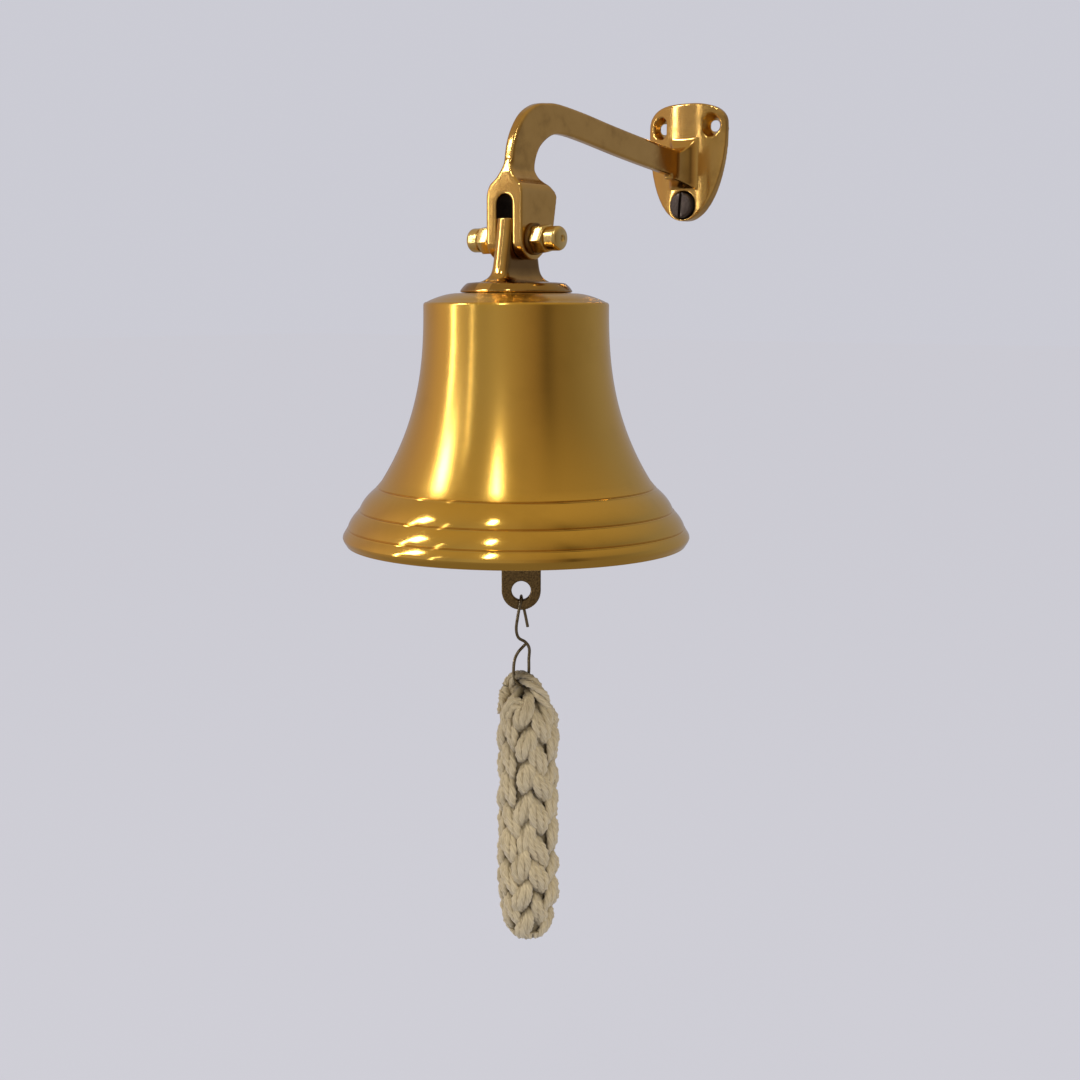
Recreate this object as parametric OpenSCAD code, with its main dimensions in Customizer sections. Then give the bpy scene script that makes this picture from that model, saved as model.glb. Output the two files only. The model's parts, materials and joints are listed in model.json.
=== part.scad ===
// Wall-hung ship bell: cast bracket, turned bell, clapper, S-hook and plaited lanyard.
// Frame: +Z up, +Y into the wall, X along the wall. The origin lies on the back face of
// the wall plate, midway between its two upper screw holes.

/* [Wall plate] */
// Width of the shield-shaped plate
plate_w = 52; // [44:1:66]
// Height of the plate above its upper screw holes
plate_rise = 13; // [11:0.5:18]
// Height of the plate below its upper screw holes
plate_drop = 53.5; // [46:0.5:68]
// Thickness in the middle of the domed face
plate_t = 8; // [7:0.5:10]
// Thickness at the plate's sides
plate_edge_t = 3.5; // [2.5:0.5:5]
// Distance between the two upper screw holes
hole_gap = 34; // [28:1:38]
// Diameter of the screw holes
hole_d = 6; // [4:0.5:7]
// Diameter of the countersinks
countersink_d = 12; // [9:0.5:13]
// Distance of the lower screw below the upper holes
screw_drop = 44.5; // [40:0.5:46]
// Diameter of the lower screw's head
screw_head_d = 14.4; // [11:0.2:15]
// Height of the lower screw's head
screw_head_h = 6.6; // [5:0.2:8]
// Depth of metal left under the lower screw's head
screw_seat_t = 4.3; // [3.5:0.1:5]

/* [Arm] */
// Distance from the wall to the pivot axis
reach = 166; // [150:1:200]
// Height of the upper screw holes above the pivot axis
pivot_drop = 69; // [64:1:84]
// Thickness of the arm
arm_t = 5; // [4:0.5:8]
// Depth of the arm along its straight run
arm_h = 15.4; // [13:0.2:18.5]

/* [Clevis] */
// Thickness of each clevis leg
leg_t = 6.2; // [5:0.2:8]
// Width of the slot between the legs
slot_w = 10; // [8:0.5:12]
// Distance from the pivot axis to the clevis's front face
clevis_front = 10.3; // [10:0.1:13]
// Distance from the pivot axis to the clevis's back corner
clevis_back = 19.6; // [16:0.2:24]
// Height of the slot's round top above the pivot axis
slot_h = 22; // [19:0.5:27]

/* [Pivot] */
// Diameter of the pivot stud
stud_d = 8; // [6:0.5:9]
// Thickness of the washers under the nuts
washer_t = 1.8; // [1:0.2:2.5]
// Width of the nuts across their flats
nut_af = 13; // [12:0.5:16]
// Length of a nut's hexagon
nut_hex_l = 7.4; // [6:0.2:9]
// Length of a nut's turned cap
nut_cap_l = 8.6; // [7:0.2:11]

/* [Bell] */
// Outside diameter of the mouth
mouth_d = 178.6; // [148:1:216]
// Height from the rim to the shoulder
bell_h = 123.2; // [102:1:148]
// Diameter of the shoulder
shoulder_d = 94; // [78:1:113]
// Wall thickness of the waist
bell_wall = 4.5; // [3.8:0.1:5.5]
// Wall thickness at the sound bow
bow_t = 6.5; // [5.5:0.1:8]
// Height of the domed top above the shoulder
crown_rise = 4.7; // [4:0.1:6]
// Width of the step at each turned ring
ring_step = 0.9; // [0.6:0.1:1.2]

/* [Crown hanger] */
// Diameter of the hanger's flange
flange_d = 56.8; // [47:0.4:68]
// Thickness of the flange
flange_t = 5.2; // [4:0.2:7]
// Height from the flange's top to the pivot axis
hanger_h = 21.3; // [18:0.1:26]
// Depth of the tongue at the pivot
tongue_depth = 24; // [20:0.5:28]

/* [Clapper] */
// Height of the clapper's ball above the rim
ball_h = 20; // [16:0.5:26]
// Diameter of the clapper's ball
ball_d = 36; // [30:1:42]
// Diameter of the clapper's rod
rod_d = 8; // [7:0.5:10]
// Width of the tail
tail_w = 20.4; // [18:0.2:25]
// Thickness of the tail and of the top eye
tail_t = 4; // [3.4:0.1:4.8]
// Diameter of the hole in the tail
tail_hole_d = 10; // [9:0.5:12]
// Distance of the tail's hole below the rim
tail_drop = 25; // [21:0.5:30]
// Sideways set of the tail from the rod's line
tail_set = 2.5; // [0:0.1:3]
// Turn of the clapper about the bell's axis, in degrees
clapper_turn = 38; // [0:1:90]

/* [Hook and lanyard] */
// Diameter of the hook's wire
wire_d = 1.6; // [1.2:0.1:2]
// Diameter of the plaited lanyard
lanyard_d = 33; // [28:1:40]
// Length of the plait below the hook
lanyard_l = 139; // [116:1:167]
// Sideways set of the plait from its eye
lanyard_set = 3.5; // [0:0.5:6]

/* [Hidden] */
$fn = 64;

fit_gap = 0.05;      // running fit of the tongue's bore on the stud
part_gap = 0.3;      // least gap between pieces that move past each other
slide_gap = 0.2;     // gap between the tongue and each leg
over = 1;            // how far a cut runs past the face that it opens

// Heights and places in the frame.
pivot_z = -pivot_drop;
flange_top_z = pivot_z - hanger_h;
crown_z = flange_top_z - flange_t;
shoulder_z = crown_z - crown_rise;
rim_z = shoulder_z - bell_h;
clevis_half = slot_w / 2 + leg_t;
clevis_top = slot_h + leg_t;
neck_top = clevis_top + 20;
nut_base = clevis_half + washer_t;
nut_r = nut_af / 2 / cos(30);
recess_d = screw_head_d + 1.4;
shell_roof_z = crown_z - bell_wall - 0.5;

// Eye bolt, from the hanger down to the ring that carries the clapper.
bolt_d = 6;
bolt_grip = 12;
crown_washer_t = 1.5;
crown_nut_t = 5;
eye_wire_d = 4;
eye_r = 8;
eye_top_z = shell_roof_z - crown_washer_t - crown_nut_t - 1;
eye_bar_z = eye_top_z - 2 * eye_r - eye_wire_d / 2;
eye_hole_r = 4.5;
eye_disc_r = 9;
eye_hang = eye_hole_r - eye_wire_d / 2 - 0.5;
ball_z = rim_z + ball_h;
tail_z = rim_z - tail_drop;

// The arm's centre line in (distance from the pivot, height above the pivot), wall last.
run_z = pivot_drop - 22.5;
bend_z = run_z + 0.115 * (reach - 35);
arm_neck = [4, clevis_top + 4];
arm_bend = [30, bend_z + 0.4];
arm_root = [reach - plate_t + 2, run_z];

function mix(a, b, k) = a + (b - a) * k;
function bezier(p, k) =
    pow(1 - k, 3) * p[0] + 3 * pow(1 - k, 2) * k * p[1]
    + 3 * (1 - k) * k * k * p[2] + pow(k, 3) * p[3];
function sgn_pow(v, e) = sign(v) * pow(abs(v), e);

// ---- wall plate and bracket ----

// Shield outline: a full, flat-topped curve above and a half ellipse below.
shield_mid = -2;
function shield_point(a) =
    let(up = sin(a) >= 0, n = up ? 3.2 : 2, h = up ? plate_rise - shield_mid : plate_drop + shield_mid)
    [plate_w / 2 * sgn_pow(cos(a), 2 / n), shield_mid + h * sgn_pow(sin(a), 2 / n)];

module along_wall_normal() {
    rotate([90, 0, 0]) children();
}

module wall_plate() {
    sag = plate_t - plate_edge_t;
    dome_r = (pow(plate_w / 2, 2) + sag * sag) / (2 * sag);
    intersection() {
        along_wall_normal()
            linear_extrude(plate_t)
                polygon([for (a = [0:5:355]) shield_point(a)]);
        translate([0, dome_r - plate_t, -plate_drop - over])
            cylinder(r = dome_r, h = plate_drop + plate_rise + 2 * over, $fn = 128);
    }
}

// Arm outline: a curve up from the clevis, over the bend and back to the wall.
arm_steps = 14;
bend_curve = [arm_neck, [2, clevis_top + 20], [10, bend_z + 2.5], arm_bend];
run_curve = [arm_bend, [46, bend_z - 0.5], [reach * 0.55, mix(run_z, bend_z, 0.5)], arm_root];
function bend_half(k) = mix(clevis_front * 1.02, arm_h / 2, pow(k, 0.75));
function arm_side(c, k, half, side) =
    let(p = bezier(c, k), q = bezier(c, k + 0.01) - bezier(c, k - 0.01), l = norm(q))
    [p[0] - side * half * q[1] / l, p[1] + side * half * q[0] / l];

module arm_profile() {
    upper = [for (i = [0:arm_steps]) let(k = i / arm_steps) arm_side(bend_curve, k, bend_half(k), 1)];
    upper_run = [for (i = [1:arm_steps]) arm_side(run_curve, i / arm_steps, arm_h / 2, 1)];
    lower_run = [for (i = [arm_steps:-1:1]) arm_side(run_curve, i / arm_steps, arm_h / 2, -1)];
    lower = [for (i = [arm_steps:-1:0]) let(k = i / arm_steps) arm_side(bend_curve, k, bend_half(k), -1)];
    polygon(concat(upper, upper_run, lower_run, lower));
}

// Side outline of the clevis: straight front, round foot, sloping back.
module clevis_profile() {
    foot = [for (a = [180:10:300]) clevis_front * [cos(a), sin(a)]];
    polygon(concat(foot, [[clevis_back - 5, -2], [clevis_back - 2, slot_h * 0.35],
        [clevis_back, slot_h], [clevis_back * 0.6, clevis_top - 1.5],
        [arm_neck[0] + clevis_front, clevis_top + 2], [arm_neck[0] + clevis_front - 2, neck_top],
        [arm_neck[0] - clevis_front + 3, neck_top], [-clevis_front, clevis_top - 4]]));
}

// Draws a (distance from pivot, height) outline as a plate of thickness t about X = 0.
module in_arm_plane(t) {
    translate([-t / 2, -reach, pivot_z])
        rotate([90, 0, 90])
            linear_extrude(t)
                children();
}

// Front outline that narrows the clevis into the arm in a hollow curve.
module clevis_front_outline() {
    shoulder_h = clevis_top - 3;
    function neck_half(k) = mix(arm_t / 2, clevis_half, pow(1 - k, 3));
    right = [for (i = [0:8]) [neck_half(i / 8), mix(shoulder_h, neck_top, i / 8)]];
    left = [for (i = [8:-1:0]) [-neck_half(i / 8), mix(shoulder_h, neck_top, i / 8)]];
    polygon(concat([[-clevis_half, -clevis_back], [clevis_half, -clevis_back]], right, left));
}

// The arm spreads over the plate from just under the upper holes to the lower screw.
module arm_root_flare() {
    root_w = arm_t + 10;
    intersection() {
        hull() {
            translate([-root_w / 2, -plate_t + 1, -pivot_drop + run_z - arm_h * 0.9])
                cube([root_w, 1, arm_h * 1.7]);
            translate([-arm_t / 2, -plate_t - 9, -pivot_drop + run_z - arm_h / 2 + 1])
                cube([arm_t, 1, arm_h]);
        }
        translate([-plate_w / 2, -2 * plate_t - over, -plate_drop])
            cube([plate_w, 2 * plate_t, plate_drop + plate_rise]);
    }
}

module wall_bracket() {
    color("goldenrod")
    difference() {
        union() {
            wall_plate();
            arm_root_flare();
            in_arm_plane(arm_t) arm_profile();
            intersection() {
                in_arm_plane(2 * clevis_half) clevis_profile();
                translate([0, -reach + clevis_back + over, pivot_z])
                    along_wall_normal()
                        linear_extrude(clevis_front + clevis_back + 2 * over)
                            clevis_front_outline();
            }
        }
        for (side = [-1, 1]) translate([side * hole_gap / 2, 0, 0]) countersunk_hole();
        translate([0, 0, -screw_drop]) screw_recess();
        clevis_slot();
        translate([0, -reach, pivot_z]) cross_bore(stud_d / 2 + fit_gap, clevis_half);
    }
}

module countersunk_hole() {
    face = plate_t - (plate_t - plate_edge_t) * pow(hole_gap / plate_w, 2);
    translate([0, over, 0]) along_wall_normal() cylinder(d = hole_d, h = plate_t + 2 * over);
    translate([0, -face + (countersink_d - hole_d) / 2 - 0.4, 0])
        along_wall_normal()
            cylinder(d1 = hole_d, d2 = hole_d + 2 * plate_t, h = plate_t);
}

module screw_recess() {
    translate([0, over, 0]) along_wall_normal() cylinder(d = hole_d, h = plate_t + 2 * over);
    translate([0, -screw_seat_t, 0])
        along_wall_normal()
            cylinder(d = recess_d, h = 2 * plate_t);
}

module clevis_slot() {
    slot_l = clevis_front + clevis_back + 2 * over;
    translate([0, -reach + clevis_back + over, pivot_z]) {
        translate([0, 0, slot_h - slot_w / 2]) along_wall_normal() cylinder(d = slot_w, h = slot_l);
        translate([-slot_w / 2, -slot_l, -clevis_back])
            cube([slot_w, slot_l, clevis_back + slot_h - slot_w / 2]);
    }
}

module cross_bore(r, half) {
    translate([-half - over, 0, 0]) rotate([0, 90, 0]) cylinder(r = r, h = 2 * (half + over));
}

module wall_screw() {
    shank_d = hole_d - 0.4;
    driver_w = 1.8;
    color("dimgray")
    translate([0, 0, -screw_drop])
    difference() {
        union() {
            translate([0, -screw_seat_t, 0])
                along_wall_normal() cylinder(d = screw_head_d, h = screw_head_h);
            translate([0, -0.2, 0]) along_wall_normal() cylinder(d = shank_d, h = screw_seat_t);
        }
        rotate([0, 4, 0])
            translate([-driver_w / 2, -screw_seat_t - screw_head_h - over, -screw_head_d])
                cube([driver_w, over + screw_head_h / 3, 2 * screw_head_d]);
    }
}

// ---- pivot ----

module at_pivot(side) {
    translate([0, -reach, pivot_z]) mirror([side < 0 ? 1 : 0, 0, 0]) rotate([0, 90, 0]) children();
}

module pivot_stud() {
    stud_half = nut_base + nut_hex_l + nut_cap_l * 0.3;
    color("gold")
    translate([0, -reach, pivot_z])
        translate([-stud_half, 0, 0]) rotate([0, 90, 0]) cylinder(d = stud_d, h = 2 * stud_half);
}

module washer(side) {
    color("darkgoldenrod")
    at_pivot(side)
    translate([0, 0, clevis_half])
    difference() {
        cylinder(r = nut_r + 0.4, h = washer_t);
        translate([0, 0, -over]) cylinder(r = stud_d / 2 + fit_gap, h = washer_t + 2 * over);
    }
}

module dome_nut(side) {
    cap_r = nut_af / 2 - 0.4;
    corner = 2.6;
    nut_l = nut_hex_l + nut_cap_l;
    bore_l = nut_hex_l + nut_cap_l * 0.45;
    color("khaki")
    at_pivot(side)
    translate([0, 0, nut_base])
    difference() {
        union() {
            cylinder(r = nut_r, h = nut_hex_l, $fn = 6);
            rotate_extrude()
                polygon(concat([[0, nut_hex_l - over], [cap_r, nut_hex_l - over]],
                    [for (a = [0:15:90])
                        [cap_r - corner + corner * cos(a), nut_l - corner + corner * sin(a)]],
                    [[1.4, nut_l], [0, nut_l - 1]]));
        }
        translate([0, 0, -over]) cylinder(r = stud_d / 2 + fit_gap, h = bore_l + over);
    }
}

// ---- bell ----

mouth_r = mouth_d / 2;
shoulder_r = shoulder_d / 2;
ring1_h = bell_h * 0.2394;
ring2_h = bell_h * 0.1445;
ring3_h = bell_h * 0.0714;
belly_h = bell_h * 0.0365;
ring1_r = mix(shoulder_r, mouth_r, 0.5697);
ring2_r = mix(shoulder_r, mouth_r, 0.7919);
ring3_r = mix(shoulder_r, mouth_r, 0.9350);
rim_r = mouth_r - 1.8;
shoulder_round = 1.6;

function waist_r(h) = shoulder_r + (ring1_r - shoulder_r) * pow((bell_h - h) / (bell_h - ring1_h), 2.56);
function flare(h0, r0, h1, r1, swell, k) = [mix(r0, r1, k) + swell * 4 * k * (1 - k), mix(h0, h1, k)];

// Outer outline from the crown to the rim, as (radius, height above the rim).
function bell_outside() = concat(
    [[0, bell_h + crown_rise], [flange_d / 2, bell_h + crown_rise]],
    [for (a = [75:-15:0])
        [shoulder_r - shoulder_round * (1 - cos(a)), bell_h - shoulder_round * (1 - sin(a))]],
    [for (i = [1:20]) let(h = mix(bell_h - shoulder_round, ring1_h, i / 20)) [waist_r(h), h]],
    [for (i = [0:6]) flare(ring1_h, ring1_r + ring_step, ring2_h, ring2_r, 1.2, i / 6)],
    [for (i = [0:5]) flare(ring2_h, ring2_r + ring_step, ring3_h, ring3_r, 0.7, i / 5)],
    [for (i = [0:4]) flare(ring3_h, ring3_r + ring_step / 2, belly_h, mouth_r, 0.2, i / 4)],
    [for (i = [1:4]) flare(belly_h, mouth_r, 0, rim_r, 0.3, i / 4)]);

// Inner outline from the rim back up to the roof.
function inside_r(h) =
    let(top_r = shoulder_r - bell_wall, foot_r = rim_r - bow_t)
    top_r + (foot_r - top_r) * pow((bell_h - h) / bell_h, 2.2);
function bell_inside() = concat(
    [[inside_r(1.5) + 1, 0], [inside_r(1.5), 1.5]],
    [for (i = [1:22]) let(h = mix(1.5, bell_h + crown_rise - bell_wall - 4, i / 22)) [inside_r(h), h]],
    [[inside_r(bell_h) - 3, bell_h + crown_rise - bell_wall - 0.5],
     [0, bell_h + crown_rise - bell_wall - 0.5]]);

module bell_shell() {
    color("goldenrod")
    translate([0, -reach, rim_z])
    difference() {
        rotate_extrude($fn = 180) polygon(concat(bell_outside(), bell_inside()));
        translate([0, 0, bell_h - 2 * bell_wall]) cylinder(d = bolt_d + 0.6, h = 6 * bell_wall);
    }
}

// ---- crown hanger ----

tongue_t = slot_w - 2 * slide_gap;
tongue_top = tongue_depth / 2 - 1.5;
// Share of the way down from the tongue's top to the flange, and the two flares that follow it.
function tongue_down(z) = (tongue_top - z) / (tongue_top + hanger_h);
function tongue_half(z) = tongue_depth / 2 + 4.5 * pow(tongue_down(z), 1.5) + 6 * pow(tongue_down(z), 12);
function tongue_side(z) = tongue_t / 2 + 5 * pow(tongue_down(z), 12);

tongue_steps = 16;
function tongue_z(i) = mix(0, -hanger_h, i / tongue_steps);

module tongue_profile() {
    back = [for (i = [0:tongue_steps]) [tongue_half(tongue_z(i)), tongue_z(i)]];
    front = [for (i = [tongue_steps:-1:0]) [-tongue_half(tongue_z(i)), tongue_z(i)]];
    top = [for (a = [165:-15:15]) [tongue_half(0) * cos(a), tongue_top * sin(a)]];
    polygon(concat(back, front, top));
}

module tongue_front_outline() {
    right = [for (i = [tongue_steps:-1:0]) [tongue_side(tongue_z(i)), tongue_z(i)]];
    left = [for (i = [0:tongue_steps]) [-tongue_side(tongue_z(i)), tongue_z(i)]];
    polygon(concat(right, [[tongue_t / 2, tongue_top], [-tongue_t / 2, tongue_top]], left));
}

module crown_hanger() {
    color("darkgoldenrod")
    difference() {
        union() {
            translate([0, -reach, crown_z]) cylinder(d = flange_d, h = flange_t, $fn = 128);
            intersection() {
                in_arm_plane(flange_d) tongue_profile();
                translate([0, -reach + flange_d, pivot_z])
                    along_wall_normal()
                        linear_extrude(2 * flange_d)
                            tongue_front_outline();
            }
        }
        translate([0, -reach, pivot_z]) cross_bore(stud_d / 2 + fit_gap, tongue_t);
        translate([0, -reach, crown_z - over])
            cylinder(d = bolt_d + 2 * fit_gap, h = bolt_grip + over + 0.5);
    }
}

// ---- crown fixing and clapper ----

// Turns what follows so that its Y axis points away from the clapper's flat face.
module at_clapper(z) {
    translate([0, -reach, z]) rotate([0, 0, clapper_turn]) children();
}

module eye_bolt() {
    color("peru")
    at_clapper(0) {
        difference() {
            translate([0, 0, eye_top_z - eye_wire_d / 2 - eye_r])
                rotate([0, 90, 0]) rotate_extrude() translate([eye_r, 0]) circle(d = eye_wire_d, $fn = 32);
            translate([-eye_wire_d, -bolt_d / 2, eye_top_z - 1]) cube([2 * eye_wire_d, bolt_d, 4]);
        }
        translate([0, 0, eye_top_z - 1.5]) cylinder(d = bolt_d, h = crown_z + bolt_grip - eye_top_z + 1.5);
    }
}

module crown_washer() {
    color("darkgoldenrod")
    translate([0, -reach, shell_roof_z - crown_washer_t])
    difference() {
        cylinder(d = 18, h = crown_washer_t);
        translate([0, 0, -over]) cylinder(d = bolt_d + 2 * fit_gap, h = crown_washer_t + 2 * over);
    }
}

module crown_nut() {
    color("khaki")
    translate([0, -reach, shell_roof_z - crown_washer_t - crown_nut_t])
    difference() {
        cylinder(d = 11.5, h = crown_nut_t, $fn = 6);
        translate([0, 0, -over]) cylinder(d = bolt_d + 2 * fit_gap, h = crown_nut_t + 2 * over);
    }
}

// Flat plate of the clapper's thickness, outlined in (sideways, height) about its swing axis.
module clapper_plate() {
    translate([0, tail_t / 2, 0]) rotate([90, 0, 0]) linear_extrude(tail_t) children();
}

module clapper() {
    hang_z = eye_bar_z - eye_hang;
    neck_z = rim_z - 2;
    color("saddlebrown")
    at_clapper(0)
    difference() {
        union() {
            translate([0, 0, hang_z]) clapper_plate() circle(r = eye_disc_r);
            translate([0, 0, ball_z]) cylinder(d = rod_d, h = hang_z - eye_hole_r - 1 - ball_z);
            translate([0, 0, ball_z]) sphere(d = ball_d);
            translate([0, 0, neck_z]) cylinder(d = rod_d, h = ball_z - neck_z);
            clapper_plate()
                polygon([[-tail_w / 2 + tail_set, tail_z], [tail_w / 2 + tail_set, tail_z],
                    [tail_w / 2 + tail_set, neck_z - 4], [rod_d / 2, neck_z + 5],
                    [-rod_d / 2, neck_z + 5], [-tail_w / 2 + tail_set, neck_z - 4]]);
            translate([tail_set, 0, tail_z]) clapper_plate() circle(d = tail_w);
        }
        translate([0, 0, hang_z]) plate_hole(eye_hole_r);
        translate([tail_set, 0, tail_z]) plate_hole(tail_hole_d / 2);
    }
}

module plate_hole(r) {
    translate([0, rod_d, 0]) rotate([90, 0, 0]) cylinder(r = r, h = 2 * rod_d);
}

// ---- hook and lanyard ----

// The hook's wire, as (sideways, towards the wall, height) from the tail hole's centre:
// over the tail's lower edge, across to one side, and round a closed loop.
hook_hang = tail_hole_d / 2 - wire_d / 2 - 2 * part_gap;
hook_side = tail_t / 2 + wire_d / 2 + 1;
hook_foot = -50.5;
HOOK = [[3.5, hook_side + 1, -20.5], [2, hook_side + 0.6, -13], [0.7, hook_side, -7],
    [0.1, hook_side * 0.62, -hook_hang], [0, 0, -hook_hang],
    [-0.1, -hook_side * 0.62, -hook_hang], [-0.7, -hook_side, -7],
    [-1.8, -hook_side - 0.4, -13], [-2.6, -3, -20], [-1.4, -1, -25], [2.2, 0, -27.6], [4.2, 0, -31],
    [4, 0, -37], [4, 0, -43], [3.2, 0, -48], [0, 0, hook_foot], [-3.2, 0, -48], [-4, 0, -43],
    [-3.4, 0, -37], [-1.6, 0, -33], [1, 0.6, -30.8]];

function catmull(p, i, k) =
    let(n = len(p) - 1, a = p[max(i - 1, 0)], b = p[i], c = p[min(i + 1, n)], d = p[min(i + 2, n)])
    0.5 * (2 * b + (c - a) * k + (2 * a - 5 * b + 4 * c - d) * k * k + (3 * b - a - 3 * c + d) * k * k * k);
function smooth_route(p, per) =
    concat([for (i = [0:len(p) - 2]) for (j = [0:per - 1]) catmull(p, i, j / per)], [p[len(p) - 1]]);
function unit(v) = v / norm(v);

// A round wire swept along a route, as one closed mesh.
module swept_wire(route, r, sides) {
    n = len(route);
    along = [for (i = [0:n - 1]) unit(route[min(i + 1, n - 1)] - route[max(i - 1, 0)])];
    ring = [for (i = [0:n - 1])
        let(t = along[i], side = unit(cross(t, [0.2, 1, 0.1])), up = cross(t, side))
        for (j = [0:sides - 1])
            let(a = 360 * j / sides)
            route[i] + r * (cos(a) * side + sin(a) * up)];
    sleeve = [for (i = [0:n - 2]) for (j = [0:sides - 1])
        let(a = i * sides + j, b = i * sides + (j + 1) % sides)
        [a, b, b + sides, a + sides]];
    polyhedron(ring, concat(sleeve, [[for (j = [sides - 1:-1:0]) j]],
        [[for (j = [0:sides - 1]) (n - 1) * sides + j]]), convexity = 6);
}

module s_hook() {
    color("darkslategray")
    at_clapper(tail_z) translate([tail_set, 0, 0]) swept_wire(smooth_route(HOOK, 4), wire_d / 2, 8);
}

// The lanyard: a rope eye over the hook's foot and a round plait below it.
eye_sag = 1.2;
module lanyard() {
    strand_r = 1.9;
    eye_mid = wire_d / 2 + part_gap + strand_r + eye_sag;
    r = lanyard_d / 2;
    top = -4.5;
    color("tan")
    at_clapper(tail_z + hook_foot)
    translate([tail_set, 0, 0]) {
        translate([0, 0, -eye_sag])
            rotate([0, 90, 0]) rotate_extrude($fn = 32)
                translate([eye_mid, 0]) circle(r = strand_r, $fn = 24);
        translate([lanyard_set, 0, 0])
            rotate_extrude()
                polygon([[0, top], [r * 0.5, top - 1], [r * 0.82, top - 9], [r, top - 22],
                    [r, -lanyard_l + 30], [r * 0.85, -lanyard_l + 10],
                    [r * 0.55, -lanyard_l], [0, -lanyard_l]]);
    }
}

wall_bracket();
wall_screw();
pivot_stud();
washer(-1);  // washer_left
washer(1);  // washer_right
dome_nut(-1);  // dome_nut_left
dome_nut(1);  // dome_nut_right
bell_shell();
crown_hanger();
eye_bolt();
crown_washer();
crown_nut();
clapper();
s_hook();
lanyard();
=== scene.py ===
import json
import math

import bpy
from mathutils import Matrix, Vector


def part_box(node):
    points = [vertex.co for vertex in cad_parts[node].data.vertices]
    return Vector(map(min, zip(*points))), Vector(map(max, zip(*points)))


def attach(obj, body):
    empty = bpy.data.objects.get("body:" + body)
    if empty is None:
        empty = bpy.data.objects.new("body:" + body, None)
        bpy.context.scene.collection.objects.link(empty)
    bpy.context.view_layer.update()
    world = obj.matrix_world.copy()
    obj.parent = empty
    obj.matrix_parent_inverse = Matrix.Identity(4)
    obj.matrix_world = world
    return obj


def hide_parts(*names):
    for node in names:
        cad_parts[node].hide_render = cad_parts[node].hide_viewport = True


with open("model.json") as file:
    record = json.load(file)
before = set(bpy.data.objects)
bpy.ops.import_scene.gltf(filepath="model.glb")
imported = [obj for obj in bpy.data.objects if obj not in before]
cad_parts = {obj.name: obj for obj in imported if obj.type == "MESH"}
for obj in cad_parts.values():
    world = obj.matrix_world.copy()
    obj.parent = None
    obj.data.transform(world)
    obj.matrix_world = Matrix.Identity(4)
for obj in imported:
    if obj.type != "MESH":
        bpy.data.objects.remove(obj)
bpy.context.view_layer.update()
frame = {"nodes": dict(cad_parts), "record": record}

MM = 0.001
UP = Vector((0, 0, 1))
ACROSS = Vector((1, 0, 0))
TO_WALL = Vector((0, 1, 0))

JOINTS = {j["name"]: Vector(j["pos_m"]) / MM for j in frame["record"]["behaviour"]["joints"]}
AXES = {j["name"]: Vector(j["axis"]) for j in frame["record"]["behaviour"]["joints"]}


def node_box(name):
    """Lowest and highest corner of a CAD node, in millimetres."""
    low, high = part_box(name)
    return Vector(low) / MM, Vector(high) / MM


# ---- camera ----

VIEW_TURN = 36.69
VIEW_TILT = -8.569
VIEW_ROLL = 0.101
VIEW_PLACE = Vector((491.9, -805.7, -100.4))
LENS = 52.53


def look_matrix(turn, tilt, roll):
    """Camera axes for a view turned about the vertical, tilted up and rolled, in degrees."""
    a, p, r = (math.radians(v) for v in (turn, tilt, roll))
    ahead = Vector((-math.sin(a) * math.cos(p), math.cos(a) * math.cos(p), math.sin(p)))
    side = Vector((math.cos(a), math.sin(a), 0.0))
    up = side.cross(ahead)
    right = side * math.cos(r) + up * math.sin(r)
    top = up * math.cos(r) - side * math.sin(r)
    return Matrix((right, top, -ahead)).transposed()


def set_camera():
    """A view from the bell's right front, looking a little down."""
    data = bpy.data.cameras.new("view_camera")
    data.lens = LENS
    data.sensor_width = 36.0
    camera = bpy.data.objects.new("view_camera", data)
    bpy.context.scene.collection.objects.link(camera)
    camera.matrix_world = (Matrix.Translation(VIEW_PLACE * MM)
                           @ look_matrix(VIEW_TURN, VIEW_TILT, VIEW_ROLL).to_4x4())
    bpy.context.scene.camera = camera


set_camera()


# ---- workshop: how pieces are shaped ----

def put_tools_down():
    """Object mode with nothing selected, and points as what edit mode picks."""
    if bpy.context.object and bpy.context.object.mode != "OBJECT":
        bpy.ops.object.mode_set(mode="OBJECT")
    bpy.ops.object.select_all(action="DESELECT")
    bpy.context.tool_settings.mesh_select_mode = (True, False, False)


def pick_up(obj):
    put_tools_down()
    obj.select_set(True)
    bpy.context.view_layer.objects.active = obj


def edit_all(obj):
    """Edit mode with the whole mesh picked."""
    pick_up(obj)
    bpy.ops.object.mode_set(mode="EDIT")
    bpy.ops.mesh.select_all(action="SELECT")


def leave_edit():
    bpy.ops.object.mode_set(mode="OBJECT")


def draw_out(by):
    """In edit mode, extrudes what is picked by a vector in metres."""
    bpy.ops.mesh.extrude_region_move(TRANSFORM_OT_translate={"value": by})


def name_it(obj, name):
    obj.name = name
    obj.data.name = name
    return obj


def settle(obj):
    """Moves the object's place into its mesh."""
    pick_up(obj)
    bpy.ops.object.transform_apply(location=True, rotation=True, scale=True)
    return obj


def tidy_surface(obj, gap=0.004):
    """Merges doubles and turns every face outwards."""
    edit_all(obj)
    bpy.ops.mesh.remove_doubles(threshold=gap * MM)
    bpy.ops.mesh.normals_make_consistent(inside=False)
    leave_edit()
    return obj


def finish_with(obj, kind, **settings):
    """Adds a modifier and applies it."""
    pick_up(obj)
    modifier = obj.modifiers.new(kind.lower(), kind)
    for key, value in settings.items():
        setattr(modifier, key, value)
    bpy.ops.object.modifier_apply(modifier=modifier.name)
    return obj


def break_edges(obj, width, segments, angle):
    """Rounds off the edges that turn by more than an angle in degrees."""
    return finish_with(obj, "BEVEL", width=width * MM, segments=segments, limit_method="ANGLE",
                       angle_limit=math.radians(angle))


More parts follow.
